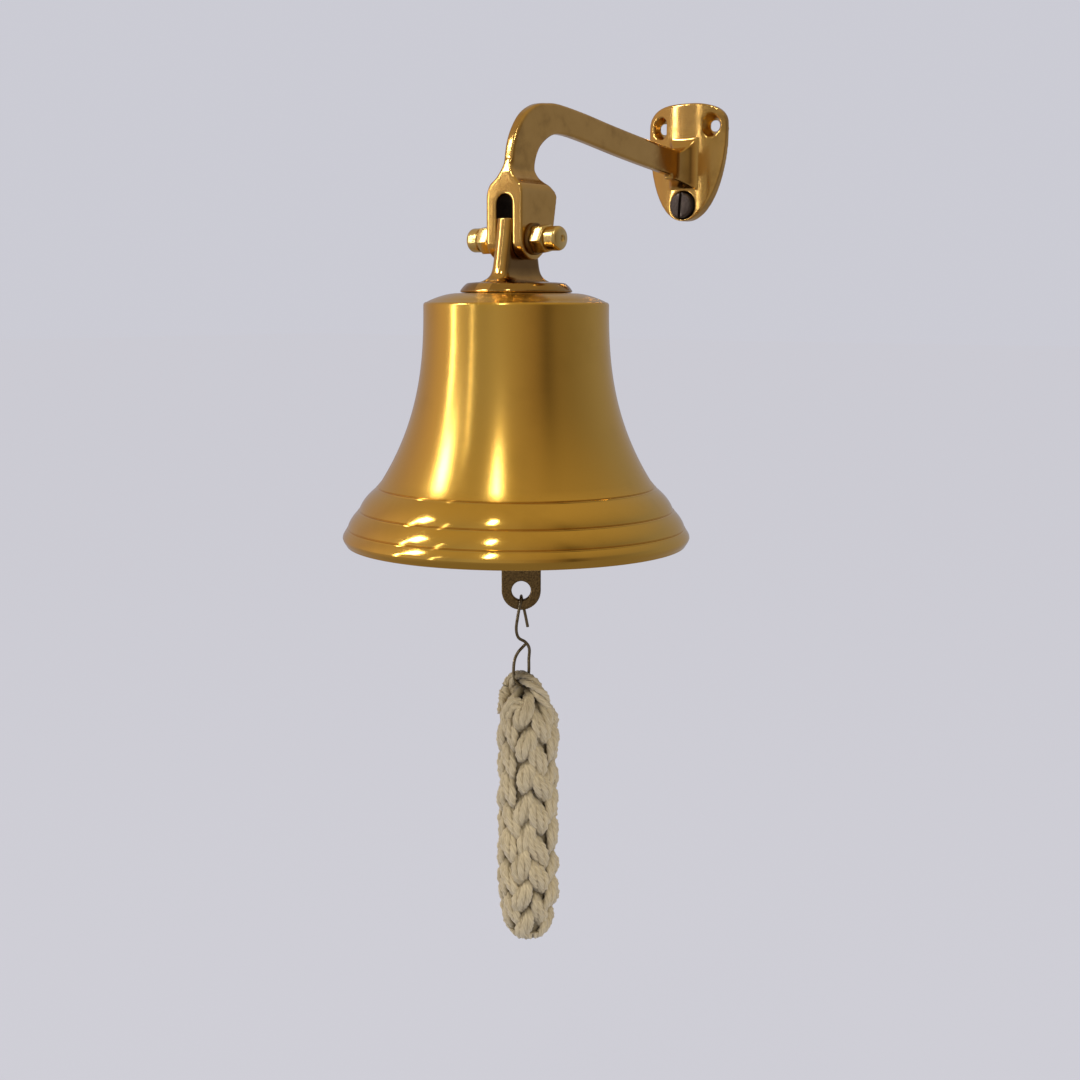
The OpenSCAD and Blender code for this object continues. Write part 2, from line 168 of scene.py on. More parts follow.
def combine(obj, others, how="UNION"):
    """Adds, cuts away or keeps the overlap with other solids, which are used up."""
    for other in others:
        finish_with(obj, "BOOLEAN", operation=how, solver="EXACT", object=other)
        bpy.data.meshes.remove(other.data)
    return obj


def trace(points):
    """A chain of edges through points in millimetres, drawn out one point at a time."""
    put_tools_down()
    points = [Vector(p) * MM for p in points]
    bpy.ops.mesh.primitive_plane_add(size=MM, location=(0, 0, 0))
    obj = bpy.context.object
    edit_all(obj)
    bpy.ops.mesh.merge(type="CENTER")
    bpy.ops.transform.translate(value=points[0])
    for a, b in zip(points, points[1:]):
        draw_out(b - a)
    return obj


def plate_from(points, thickness):
    """A solid plate: a closed outline filled and drawn out along the thickness vector."""
    obj = trace(list(points) + [points[0]])
    bpy.ops.mesh.select_all(action="SELECT")
    bpy.ops.mesh.remove_doubles(threshold=0.001 * MM)
    bpy.ops.mesh.edge_face_add()
    draw_out(Vector(thickness) * MM)
    bpy.ops.mesh.select_all(action="SELECT")
    bpy.ops.mesh.normals_make_consistent(inside=False)
    leave_edit()
    return obj


def turned(outline, centre, axis=UP, steps=96, closed=True):
    """A lathe piece: (radius, distance along the axis) points spun about the axis."""
    axis = Vector(axis).normalized()
    centre = Vector(centre)
    out = axis.orthogonal().normalized()
    loop = list(outline) + ([outline[0]] if closed else [])
    trace([centre + out * r + axis * h for r, h in loop])
    bpy.ops.mesh.select_all(action="SELECT")
    bpy.ops.mesh.spin(steps=steps, angle=2 * math.pi, center=centre * MM, axis=axis)
    leave_edit()
    return tidy_surface(bpy.context.object, 0.002)


def drill(centre, axis, length, radius, radius_end=None):
    """A round cutter centred on a point, straight or tapered."""
    put_tools_down()
    turn = Vector(axis).to_track_quat("Z", "Y").to_euler()
    bpy.ops.mesh.primitive_cone_add(vertices=64, radius1=radius * MM, depth=length * MM,
                                    radius2=(radius if radius_end is None else radius_end) * MM,
                                    location=Vector(centre) * MM, rotation=turn)
    return settle(bpy.context.object)


def block(centre, size, turn=0.0):
    """A square-edged cutter."""
    put_tools_down()
    bpy.ops.mesh.primitive_cube_add(size=MM, location=Vector(centre) * MM, scale=size,
                                    rotation=(0, turn, 0))
    return settle(bpy.context.object)


def stacked(levels, upright):
    """A solid drawn out from rectangle to rectangle; a level is a centre and its half sizes."""
    put_tools_down()
    here, half = levels[0]
    bpy.ops.mesh.primitive_plane_add(size=2 * MM, location=here * MM,
                                     rotation=(math.pi / 2 if upright else 0, 0, 0))
    obj = bpy.context.object
    obj.scale = (half[0], half[2] if upright else half[1], 1)
    edit_all(settle(obj))
    for there, wanted in levels[1:]:
        draw_out((there - here) * MM)
        bpy.ops.transform.resize(value=[b / a for a, b in zip(half, wanted)],
                                 center_override=there * MM)
        here, half = there, wanted
    leave_edit()
    return tidy_surface(obj)


def cast_skin(obj, grain, passes):
    """Melts the joins and edges of a solid into the soft fillets of a casting."""
    finish_with(obj, "REMESH", mode="VOXEL", voxel_size=grain * MM)
    finish_with(obj, "SMOOTH", factor=0.5, iterations=passes)
    pick_up(obj)
    bpy.ops.object.shade_smooth()
    return obj


def crease(obj, angle=32):
    pick_up(obj)
    bpy.ops.object.shade_smooth_by_angle(angle=math.radians(angle))
    return obj


def pick_edges(obj, wanted):
    """Edit mode with only the edges whose two ends, in millimetres, pass the test."""
    edit_all(obj)
    bpy.ops.mesh.select_mode(type="EDGE")
    bpy.ops.mesh.select_all(action="DESELECT")
    leave_edit()
    for edge in obj.data.edges:
        a, b = (obj.data.vertices[i].co / MM for i in edge.vertices)
        edge.select = wanted(a, b)
    bpy.ops.object.mode_set(mode="EDIT")


def arc(centre, radius, start, end, steps):
    """Points along an arc from one angle to another, in degrees, as (x, y)."""
    angles = [math.radians(start + (end - start) * i / steps) for i in range(steps + 1)]
    return [(centre[0] + radius * math.cos(a), centre[1] + radius * math.sin(a)) for a in angles]


def smooth_through(points, per):
    """A flowing curve through the points, with that many steps between each two."""
    pts = [Vector(p) for p in points]
    route = []
    for i in range(len(pts) - 1):
        a, b = pts[max(i - 1, 0)], pts[i]
        c, d = pts[i + 1], pts[min(i + 2, len(pts) - 1)]
        for j in range(per):
            k = j / per
            route.append(0.5 * (2 * b + (c - a) * k + (2 * a - 5 * b + 4 * c - d) * k * k
                                + (3 * b - a - 3 * c + d) * k ** 3))
    return route + [pts[-1]]


def mix(a, b, k):
    return a + (b - a) * k


# ---- places ----

PIVOT = JOINTS["bell_swing"]
BELL_LOW, BELL_HIGH = node_box("bell_shell")
RIM_Z = BELL_LOW.z
MOUTH_R = (BELL_HIGH.x - BELL_LOW.x) / 2
BELL_AXIS = Vector((PIVOT.x, PIVOT.y, 0))
PLATE_HIGH = node_box("wall_bracket")[1]
HANGER_LOW, HANGER_HIGH = node_box("crown_hanger")
SIDEWAYS = AXES["lanyard_swing"].normalized()
AWAY = AXES["clapper_swing"].normalized()


def beside_pivot(distance, height, across=0.0):
    """A point by its distance from the pivot towards the wall and its height above it."""
    return PIVOT + TO_WALL * distance + UP * height + ACROSS * across


def in_clapper(sideways, away, height, start=BELL_AXIS):
    """A point by the clapper's own directions from a start, which is at the frame's height."""
    return start + SIDEWAYS * sideways + AWAY * away + UP * height


# ---- bracket ----

PLATE_T = 8.0
PLATE_EDGE_T = 3.5
PLATE_DROP = 53.5
HOLE_SIDE = 17.0
HOLE_R = 3.0
SINK_LONG = 7.7
SINK_MID_Y = -2.75
SINK_TIP_R = 2.0
SINK_R = 6.9
LOWER_SCREW_Z = -44.5
SCREW_SEAT_T = 4.3
RECESS_R = 7.9
ARM_T = 6.0
CLEVIS_HALF = 11.2
CLEVIS_FRONT = -10.4
SLOT_W = 10.0
SLOT_TOP = 22.0
STUD_BORE_R = 4.05
GRAIN = 0.5


def shield_outline():
    """The plate's outline: full and flat-topped above, half an ellipse below."""
    middle, half_w, steps = -2.0, PLATE_HIGH.x, 96
    points = []
    for i in range(steps):
        c, s = math.cos(math.tau * i / steps), math.sin(math.tau * i / steps)
        fullness, reach = (2.75, PLATE_HIGH.z - middle) if s >= 0 else (2.0, PLATE_DROP + middle)
        x = math.copysign(abs(c) ** (2 / fullness), c) * half_w
        z = math.copysign(abs(s) ** (2 / fullness), s) * reach
        points.append(Vector((x, 0, middle + z)))
    return points


def plate_blank():
    """The shield plate with its domed face."""
    plate = plate_from(shield_outline(), (0, -PLATE_T, 0))
    sag, low, high = PLATE_T - PLATE_EDGE_T, -70, 30
    dome_r = (PLATE_HIGH.x ** 2 + sag ** 2) / (2 * sag)
    dome = turned([(0, low), (dome_r, low), (dome_r, high), (0, high)],
                  (0, dome_r - PLATE_T, 0), UP, 256, closed=False)
    return combine(plate, [dome], "INTERSECT")


def arm_blank():
    """The bent arm, as a flat bar with well-rounded edges."""
    outer = [(-6.4, 22), (-7.4, 32.4), (-4.6, 48.6), (3.3, 60.9), (13.6, 67.2), (23.7, 68.9),
             (34.1, 69.2), (56.5, 66.8), (82.7, 63), (117.5, 58.5), (164, 53.4)]
    inner = [(164, 38), (122, 43.1), (91.7, 47.1), (56.6, 52.3), (38.2, 54.2), (27.2, 52.9),
             (17.4, 46.8), (12.9, 39), (12.4, 32), (12.6, 22)]
    outline = [p for line in (outer, inner) for p in smooth_through([(*p, 0) for p in line], 5)]
    arm = plate_from([beside_pivot(p.x, p.y, -ARM_T / 2) for p in outline], (ARM_T, 0, 0))
    return break_edges(arm, 1.9, 4, 60)


def clevis_blank():
    """The forked block that the arm grows out of, before its slot is cut."""
    side = arc((0, 0), -CLEVIS_FRONT, 180, 300, 14)
    side += [(13.8, -3), (17.2, 7.6), (19.7, 21.5), (18.9, 23.8), (12.6, 30.2), (12.0, 34), (12.0, 44)]
    side += [(-4.4, 44.5), (-7.3, 38.6), (-9.0, 33), (-9.8, 27), (-10.3, 20), (CLEVIS_FRONT, 12)]
    body = plate_from([beside_pivot(d, h, -CLEVIS_HALF) for d, h in side], (2 * CLEVIS_HALF, 0, 0))
    shoulder, top, tuck, foot = 27.0, 44.5, 1.9, -20
    wide, slim = CLEVIS_HALF - tuck, ARM_T / 2 - 1.2
    neck = [(CLEVIS_HALF - tuck * (k / 6) ** 2.4, shoulder - 7 + 7 * k / 6) for k in range(6)]
    neck += [(mix(slim, wide, (1 - k / 12) ** 3.3), mix(shoulder, top, k / 12)) for k in range(13)]
    face = [(-CLEVIS_HALF, foot), (CLEVIS_HALF, foot)] + neck + [(-x, h) for x, h in reversed(neck)]
    narrow = plate_from([beside_pivot(-20, h, x) for x, h in face], TO_WALL * 50)
    combine(body, [narrow], "INTERSECT")
    return break_edges(body, 1.2, 3, 40)


def root_flare():
    """The arm's foot, which sweeps out into the plate in a round hollow, with a ledge above."""
    top_z, ledge_z = -16.6, -4.4
    under_z, foot_z = -30.6, -36.5
    reach, spread, face_y, last = 17.0, 8.8, -6.9, 82

    def level_at(degrees):
        a = math.radians(degrees)
        k = (1 - math.cos(a)) / (1 - math.cos(math.radians(last)))
        upper, lower = mix(top_z, ledge_z, k), mix(under_z, foot_z, k)
        centre = Vector((0, face_y - reach + reach * math.sin(a), (upper + lower) / 2))
        return centre, (ARM_T / 2 - 0.3 + spread * (1 - math.cos(a)), 1, (upper - lower) / 2)

    levels = [level_at(a) for a in range(0, last + 1, 6)] + [level_at(last)]
    centre, half = levels[-1]
    levels.append((Vector((0, -3.0, centre.z)), half))
    return stacked(levels, True)


def bracket_casting():
    """The bracket: plate, foot, arm and forked clevis in one soft-edged casting."""
    casting = plate_blank()
    combine(casting, [root_flare(), arm_blank(), clevis_blank()])
    cutters = []
    for side in (-HOLE_SIDE, HOLE_SIDE):
        cutters += [drill((side, -PLATE_T / 2, 0), TO_WALL, 12, HOLE_R),
                    drill((side, SINK_MID_Y, 0), -TO_WALL, SINK_LONG, SINK_TIP_R, SINK_R)]
    through, slot_h, slot_round = 40, 47, SLOT_TOP - SLOT_W / 2
    cutters += [drill((0, 1, LOWER_SCREW_Z), TO_WALL, 20, HOLE_R),
                drill((0, -SCREW_SEAT_T - 10, LOWER_SCREW_Z), TO_WALL, 20, RECESS_R),
                drill(beside_pivot(4, slot_round), TO_WALL, through, SLOT_W / 2),
                block(beside_pivot(4, slot_round - slot_h / 2), (SLOT_W, through, slot_h)),
                drill(PIVOT, ACROSS, through, STUD_BORE_R)]
    combine(casting, cutters, "DIFFERENCE")
    return name_it(cast_skin(casting, GRAIN, 12), "bracket_casting")


def in_screw_hole(point):
    """Whether a point lies on the wall of one of the two open screw holes."""
    return math.hypot(abs(point.x) - HOLE_SIDE, point.z) < HOLE_R + 0.1


def in_slot(point):
    """Whether a point of the bracket lies on the walls of its slot, which are left unpolished and given
    painted shade.
    """
    x, y, z = point - PIVOT
    front, back, foot = -9.2, 18, -11
    return abs(x) < SLOT_W / 2 + 0.1 and front < y < back and foot < z < SLOT_TOP - 0.6


# ---- crown hanger ----

def tongue_blank():
    """The upright tongue, round at front and back, wider where it meets the flange."""
    foot, head = HANGER_LOW.z + 4.4, PIVOT.z + 10.2

    def half_size(z):
        """Half the width and depth at a height: a slow taper, then a quick spread at the foot."""
        down = (head - z) / (head - foot)
        spread = down ** 15
        return 4.85 + 5.2 * spread, 11.6 + 5.6 * down ** 1.2 + 6.5 * spread, 1

    heights = [mix(foot, head, i / 26) for i in range(27)]
    tongue = stacked([(Vector((PIVOT.x, PIVOT.y, z)), half_size(z)) for z in heights], False)
    pick_edges(tongue, lambda a, b: abs(a.z - b.z) > 0.1)
    bpy.ops.mesh.bevel(offset=4.0 * MM, segments=8)
    leave_edit()
    return tidy_surface(tongue)


def hanger_casting():
    """Round flange and upright tongue, with the pivot's bore."""
    r, bolt_bore_r = (HANGER_HIGH.x - HANGER_LOW.x) / 2, 3.05
    centre = (PIVOT.x, PIVOT.y, HANGER_LOW.z)
    flange = [(0, 0), (r - 0.6, 0)] + arc((r - 0.6, 0.7), 0.6, -90, 20, 4)
    flange += [(r - 0.5, 1.6), (r - 1.3, 2.7), (r - 2.3, 3.7), (r - 3.1, 4.4), (r - 3.9, 4.8)]
    flange += [(r - 8, 5.2), (0, 5.6)]
    casting = turned(flange, centre, UP, 128, closed=False)
    combine(casting, [tongue_blank()])
    bores = [drill(PIVOT, ACROSS, 30, STUD_BORE_R), drill(centre, UP, 26, bolt_bore_r)]
    combine(casting, bores, "DIFFERENCE")
    return name_it(cast_skin(casting, GRAIN, 4), "hanger_casting")


# ---- pivot fastenings ----

def seat_washer(side, word):
    """A plain washer with broken edges under a nut."""
    low, high = node_box("washer_" + word)
    thick, r = high.x - low.x, (high.z - low.z) / 2
    ring = [(STUD_BORE_R, 0), (r - 0.3, 0), (r, 0.3), (r, thick - 0.4), (r - 0.4, thick), (4.3, thick),
            (STUD_BORE_R, 0.3)]
    start = Vector((low.x if side > 0 else high.x, PIVOT.y, PIVOT.z))
    washer = turned(ring, start, ACROSS * side, 64)
    return name_it(crease(washer), "seat_washer_" + word)


def acorn_nut(side, word):
    """A chamfered hexagon with a turned cap that is centre-drilled."""
    low, high = node_box("dome_nut_" + word)
    length, hexagon, flats, chamfer = high.x - low.x, 7.4, 13.0, 0.9
    tightened, bored = math.radians(10), hexagon + 3.5
    start = Vector((low.x if side > 0 else high.x, PIVOT.y, PIVOT.z))
    out = ACROSS * side
    put_tools_down()
    corner = flats / 2 / math.cos(math.radians(30))
    middle = start + out * hexagon / 2
    lie = Matrix.Rotation(tightened, 3, "X") @ Matrix.Rotation(math.pi / 2, 3, "Y")
    bpy.ops.mesh.primitive_cylinder_add(vertices=6, radius=corner * MM, depth=hexagon * MM,
                                        location=middle * MM, rotation=lie.to_euler())
    nut = settle(bpy.context.object)
    barrel = [(0, 0), (corner - chamfer * 1.3, 0), (corner + 0.1, chamfer),
              (corner + 0.1, hexagon - chamfer), (corner - chamfer * 1.5, hexagon), (0, hexagon)]
    combine(nut, [turned(barrel, start, out, 96, closed=False)], "INTERSECT")
    break_edges(nut, 0.18, 2, 35)
    cap_r, corner_r = flats / 2 - 0.4, 2.4
    cap = [(0, hexagon - 1), (cap_r - 0.7, hexagon - 1), (cap_r - 0.7, hexagon + 0.6),
           (cap_r, hexagon + 1.3)]
    cap += arc((cap_r - corner_r, length - corner_r - 0.5), corner_r, 0, 70, 8)
    cap += [(2.6, length - 0.1), (1.9, length), (1.5, length - 0.25), (0.9, length - 1.1),
            (0, length - 1.3)]
    combine(nut, [turned(cap, start, out, 64, closed=False)])
    combine(nut, [drill(start, out, 2 * bored, STUD_BORE_R)], "DIFFERENCE")
    return name_it(crease(nut, 28), "acorn_nut_" + word)


def slotted_screw():
    """The lower wall screw: a deep round head with a straight slot."""
    low, high = node_box("wall_screw")
    centre = Vector(((low.x + high.x) / 2, high.y, (low.z + high.z) / 2))
    head_r, tall, seat, shank_r = (high.x - low.x) / 2, high.y - low.y, 4.1, 2.8
    side = [(0, 0), (shank_r, 0), (shank_r, seat), (head_r - 0.5, seat), (head_r, seat + 0.5),
            (head_r, tall - 1.5)]
    side += arc((head_r - 1.3, tall - 1.5), 1.3, 15, 80, 6) + [(head_r * 0.5, tall - 0.06), (0, tall)]
    screw = turned(side, centre, -TO_WALL, 72, closed=False)
    slot = block(centre - TO_WALL * tall, (1.8, 4.6, 3 * head_r), math.radians(4))
    combine(screw, [slot], "DIFFERENCE")
    break_edges(screw, 0.16, 2, 40)
    return name_it(crease(screw), "slotted_screw")


# ---- bell ----

BELL_H = 123.2
SHOULDER_R = 47.0
CROWN_HOLE_R = 3.3
TOP_RING = 0.2394


def ring_groove(radius, height, step):
    """A fine turned bead and groove, going down the bell."""
    return [(radius - 0.02, height + 0.75), (radius - 0.30, height + 0.45), (radius - 0.22, height + 0.2),
            (radius + step * 0.62, height + 0.04), (radius + step * 0.95, height - 0.15),
            (radius + step, height - 0.5)]


def bell_outline():
    """The whole section, from the crown's hole out, down to the rim and back up inside."""
    rise = BELL_HIGH.z - RIM_Z - BELL_H
    heights = [BELL_H * k for k in (TOP_RING, 0.1445, 0.0714, 0.0365)]
    radii = [mix(SHOULDER_R, MOUTH_R, k) for k in (0.5697, 0.7919, 0.9350)]
    step, lip_r, edge = 0.9, MOUTH_R - 1.8, 1.6

    def waist(h):
        return SHOULDER_R + (radii[0] - SHOULDER_R) * ((BELL_H - h) / (BELL_H - heights[0])) ** 2.56

    def bulge(start, end, swell, steps):
        """From one ring to the next, swelling between them."""
        (r0, h0), (r1, h1) = start, end
        return [(mix(r0, r1, i / steps) + swell * 4 * (i / steps) * (1 - i / steps), mix(h0, h1, i / steps))
                for i in range(1, steps)]

    flat_r, dome_h, top = 29, rise - 0.25, BELL_H - edge
    outside = [(CROWN_HOLE_R, BELL_H + rise), (24, BELL_H + rise), (flat_r, BELL_H + dome_h)]
    for i in range(1, 8):
        fall = math.cos(math.pi / 2 * i / 8) ** 0.9
        outside.append((mix(flat_r, SHOULDER_R - edge, i / 8), BELL_H + dome_h * fall))
    outside += arc((SHOULDER_R - edge, top), edge, 88, 0, 7)
    levels = [mix(top, heights[0] + 0.9, i / 44) for i in range(1, 44)]
    outside += [(waist(h), h) for h in levels]
    ends = [(radii[1], heights[1] + 0.75), (radii[2], heights[2] + 0.75), (MOUTH_R, heights[3])]
    swells = ((step, 1.2, 12), (step, 0.7, 10), (step * 0.6, 0.2, 6))
    for r, h, end, (out, swell, count) in zip(radii, heights, ends, swells):
        outside += ring_groove(r, h, out) + bulge((r + out, h - 0.5), end, swell, count)
    outside += bulge((MOUTH_R, heights[3]), (lip_r, 0.9), 0.35, 7)
    outside += arc((lip_r - 0.9, 0.9), 0.9, -10, -90, 5)
    bow, wall = 6.5, 4.5
    top_r, foot_r = SHOULDER_R - wall, lip_r - bow

    def inside(h):
        return top_r + (foot_r - top_r) * ((BELL_H - h) / BELL_H) ** 2.2

    roof = BELL_H + rise - wall - 0.5
    inner = arc((inside(1.2) + 1.2, 1.2), 1.2, -90, -165, 5)
    inner += [(inside(h), h) for h in (mix(2, roof - 6, i / 34) for i in range(35))]
    inner += arc((inside(BELL_H) - 6, roof - 6), 6, 8, 88, 8) + [(CROWN_HOLE_R, roof)]
    return outside + inner


def turned_bell():
    """The bell itself, turned all over; its cast inside gets a second finish at assembly."""
    bell = turned(bell_outline(), (BELL_AXIS.x, BELL_AXIS.y, RIM_Z), UP, 224)
    return name_it(crease(bell, 24), "turned_bell")


# ---- clapper, hook and crown fixing ----

def forged_clapper():
    """Eye, rod, ball and flat tail, forged in one piece."""
    eye = JOINTS["clapper_swing"]
    tail = JOINTS["hook_swing"]
    ball_z, ball_r, flat = RIM_Z + 20, 18.0, 4.0
    tail_set, tail_half, tail_hole_r = 2.5, 10.2, 5.0
    eye_hole_r, eye_r, neck = 4.5, 9, RIM_Z - 2
    rod = [(0, eye.z - 5.5), (4, eye.z - 5.5), (3.8, eye.z - 20), (4.1, ball_z + 27), (5.6, ball_z + 19.5)]
    rod += arc((0, ball_z), ball_r, 68, -68, 30)
    rod += [(5.2, ball_z - 18.6), (4, ball_z - 21), (4, neck - 3), (0, neck - 3)]
    clapper = turned(rod, BELL_AXIS, UP, 72, closed=False)
    plate = arc((tail_set, tail.z), tail_half, 0, -180, 28)
    plate += [(-tail_half + tail_set, neck - 5), (-5.5, neck), (-3.7, neck + 5), (3.7, neck + 5),
              (8.5, neck), (tail_half + tail_set, neck - 5)]
    web = plate_from([in_clapper(x, -flat / 2, z) for x, z in plate], AWAY * flat)
    combine(web, [drill(in_clapper(tail_set, 0, tail.z), AWAY, 12, tail_hole_r)], "DIFFERENCE")
    ring = [(eye_hole_r, -flat / 2), (eye_r, -flat / 2), (eye_r, flat / 2), (eye_hole_r, flat / 2)]
    combine(clapper, [turned(ring, in_clapper(0, 0, eye.z), AWAY, 72), web])
    return name_it(cast_skin(clapper, GRAIN, 3), "forged_clapper")


def wire(name, route, radius):
    """A round wire with closed ends along a route."""
    trace(route)
    leave_edit()
    bpy.ops.object.convert(target="CURVE")
    curve = bpy.context.object
    curve.data.dimensions = "3D"
    curve.data.bevel_depth = radius * MM
    curve.data.bevel_resolution = 4
    curve.data.use_fill_caps = True
    bpy.ops.object.convert(target="MESH")
    wired = tidy_surface(settle(bpy.context.object), 0.001)
    break_edges(wired, radius * 0.3, 2, 50)
    return name_it(crease(wired, 40), name)


def wire_hook():
    """The bent wire that joins the tail to the lanyard: an open hook and a closed loop."""
    top = JOINTS["hook_swing"]
    side, hang, foot, wire_r = 3.8, 3.6, -50.5, 0.8
    bends = [(3.5, side + 1, -20.5), (2, side + 0.6, -13), (0.7, side, -7), (0.1, side * 0.62, -hang),
             (0, 0, -hang), (-0.1, -side * 0.62, -hang), (-0.7, -side, -7), (-1.8, -side - 0.4, -13),
             (-2.6, -3, -20), (-1.4, -1, -25), (2.2, 0, -27.6), (4.2, 0, -31), (4, 0, -37), (4, 0, -43),
             (3.2, 0, -48), (0, 0, foot), (-3.2, 0, -48), (-4, 0, -43), (-3.4, 0, -37), (-1.6, 0, -33),
             (1, 0.8, -30.2), (2.6, 1.0, -28.6)]
    route = [in_clapper(*p, top) for p in smooth_through(bends, 6)]
    return wire("wire_hook", route, wire_r)


def ring_bolt():
    """The threaded bolt and ring that carry the clapper."""
    low, high = node_box("eye_bolt")
    ring_r, bar, thread_r, root_r = 8.0, 2.0, 3.0, 2.55
    ring_mid = Vector((BELL_AXIS.x, BELL_AXIS.y, low.z + ring_r + bar))
    ring = turned([(ring_r + x, y) for x, y in arc((0, 0), bar, 0, 345, 23)], ring_mid, SIDEWAYS, 72)
    start, pitch = ring_mid.z + ring_r - 0.5, 1.0
    shank = [(0, start), (thread_r, start)]
    z = start + 3.0
    while z < high.z - 1.2:
        shank += [(thread_r, z), (root_r, z + pitch * 0.45), (thread_r, z + pitch * 0.9)]
        z += pitch
    shank += [(thread_r, high.z - 0.8), (2.4, high.z), (0, high.z)]
    combine(ring, [turned(shank, BELL_AXIS, UP, 40, closed=False)])
    return name_it(crease(ring), "ring_bolt")


# ---- lanyard ----

PLAIT_R = 12.2
COLUMNS = 10
KNOB_PITCH = 16.4
KNOB_HALF = 10.2
PLIES = 3
LAY = 1.7
YARN_R = 1.95


def plait_girth(z, top, bottom):
    """Share of the full girth at a height: drawn in at the eye and at the foot."""
    down = min(1.0, max(0.0, (top - z) / 18))
    up = min(1.0, max(0.0, (z - bottom) / 30))
    return (0.5 + 0.5 * math.sin(down * math.pi / 2)) * (0.56 + 0.44 * math.sin(up * math.pi / 2) ** 0.8)


def uneven(number, spread):
    """A small, repeatable difference between one knob and the next."""
    return spread * math.sin(number * 12.9898 + 78.233 * math.sin(number * 3.7))


def yarn_tube(route, frames, radius, twist):
    """Rings of a yarn whose plies show as ridges that wind round it."""
    rings, travelled, sides = [], 0.0, 12
    for i, p in enumerate(route):
        travelled += (p - route[max(i - 1, 0)]).length
        side, up = frames[i]
        ring = []
        for j in range(sides):
            a = math.tau * j / sides
            r = radius * (1 + 0.2 * math.cos(PLIES * a - twist * travelled))
            ring.append((p + (side * math.cos(a) + up * math.sin(a)) * r, travelled))
        rings.append(ring)
    return rings


def frames_along(route, out_from):
    """Two directions square to the route at each point, the second facing away from an axis point."""
    frames = []
    for i, p in enumerate(route):
        along = (route[min(i + 1, len(route) - 1)] - route[max(i - 1, 0)]).normalized()
        out = (p - out_from(p)).normalized()
        side = along.cross(out).normalized()
        frames.append((side, side.cross(along).normalized()))
    return frames


class YarnMesh:
    """Gathers the rings of all the yarns into one mesh with its own yarn map."""

    def __init__(self):
        self.verts, self.faces, self.uvs = [], [], []

    def add(self, rings):
        base, sides = len(self.verts), len(rings[0])
        self.verts += [p * MM for ring in rings for p, _ in ring]
        for i in range(len(rings) - 1):
            for j in range(sides):
                k = (j + 1) % sides
                self.faces.append([base + i * sides + j, base + i * sides + k,
                                   base + (i + 1) * sides + k, base + (i + 1) * sides + j])
                near, far = rings[i][j][1] * MM, rings[i + 1][j][1] * MM
                self.uvs.append([(j / sides, near), ((j + 1) / sides, near),
                                 ((j + 1) / sides, far), (j / sides, far)])
        for last in (0, len(rings) - 1):
            loop = [base + last * sides + j for j in range(sides)]
            self.faces.append(loop[::-1] if last == 0 else loop)
            self.uvs.append([(j / sides, rings[last][j][1] * MM) for j in range(sides)])

    def build(self, name):
        mesh = bpy.data.meshes.new(name)
        mesh.from_pydata(self.verts, [], self.faces)
        layer = mesh.uv_layers.new(name="yarn")
        for poly, corners in zip(mesh.polygons, self.uvs):
            for loop_index, corner in zip(poly.loop_indices, corners):
                layer.data[loop_index].uv = corner
        obj = bpy.data.objects.new(name, mesh)
        bpy.context.scene.collection.objects.link(obj)
        return obj


def add_knob(yarns, axis, top, bottom, around, z, lean, number):
    """Three yarns side by side that rise out of the plait and dive back into it."""
    steps, lift, bury = 16, 5.2 + uneven(number, 0.9), 3.4
    half = KNOB_HALF * (1 + uneven(number + 40, 0.12))
    for lane in (-1, 0, 1):
        route = []
        for i in range(steps + 1):
            t = 2 * i / steps - 1
            arch = math.cos(t * math.pi / 2)
            height = max(z - t * half, bottom + 1.2)
            girth = plait_girth(height, top, bottom)
            roll = t if lean > 0 else -t
            gap = 3.45 * (0.46 + 0.54 * arch) * (0.55 + 0.45 * girth)
            across = lane * gap * math.cos(roll) + lean * 0.8 * t * half
            proud = lane * gap * math.sin(roll) * 0.75 + (0.7 * arch if lane == 0 else 0)
            r = PLAIT_R * girth + lift * arch ** 0.65 - bury + proud - max(0, height - z + t * half)
            turn = around + across / (PLAIT_R * girth + 3)
            route.append(axis + Vector((math.cos(turn) * r, math.sin(turn) * r, height)))
        frames = frames_along(route, lambda p: Vector((axis.x, axis.y, p.z)))
        yarns.add(yarn_tube(route, frames, YARN_R, LAY if lean > 0 else -LAY))


def add_bundle(yarns, middle, radius, spread, twist):
    """A strand of three yarns laid up round its own middle line."""
    def below(p):
        return p - UP - TO_WALL * 0.3

    frames = frames_along(middle, below)
    for n in range(3):
        route, travelled = [], 0.0
        for i, (p, (side, up)) in enumerate(zip(middle, frames)):
            travelled += (p - middle[max(i - 1, 0)]).length
            a = math.tau * n / 3 + twist * travelled
            route.append(p + (side * math.cos(a) + up * math.sin(a)) * spread)
        yarns.add(yarn_tube(route, frames_along(route, below), radius, 1.9))


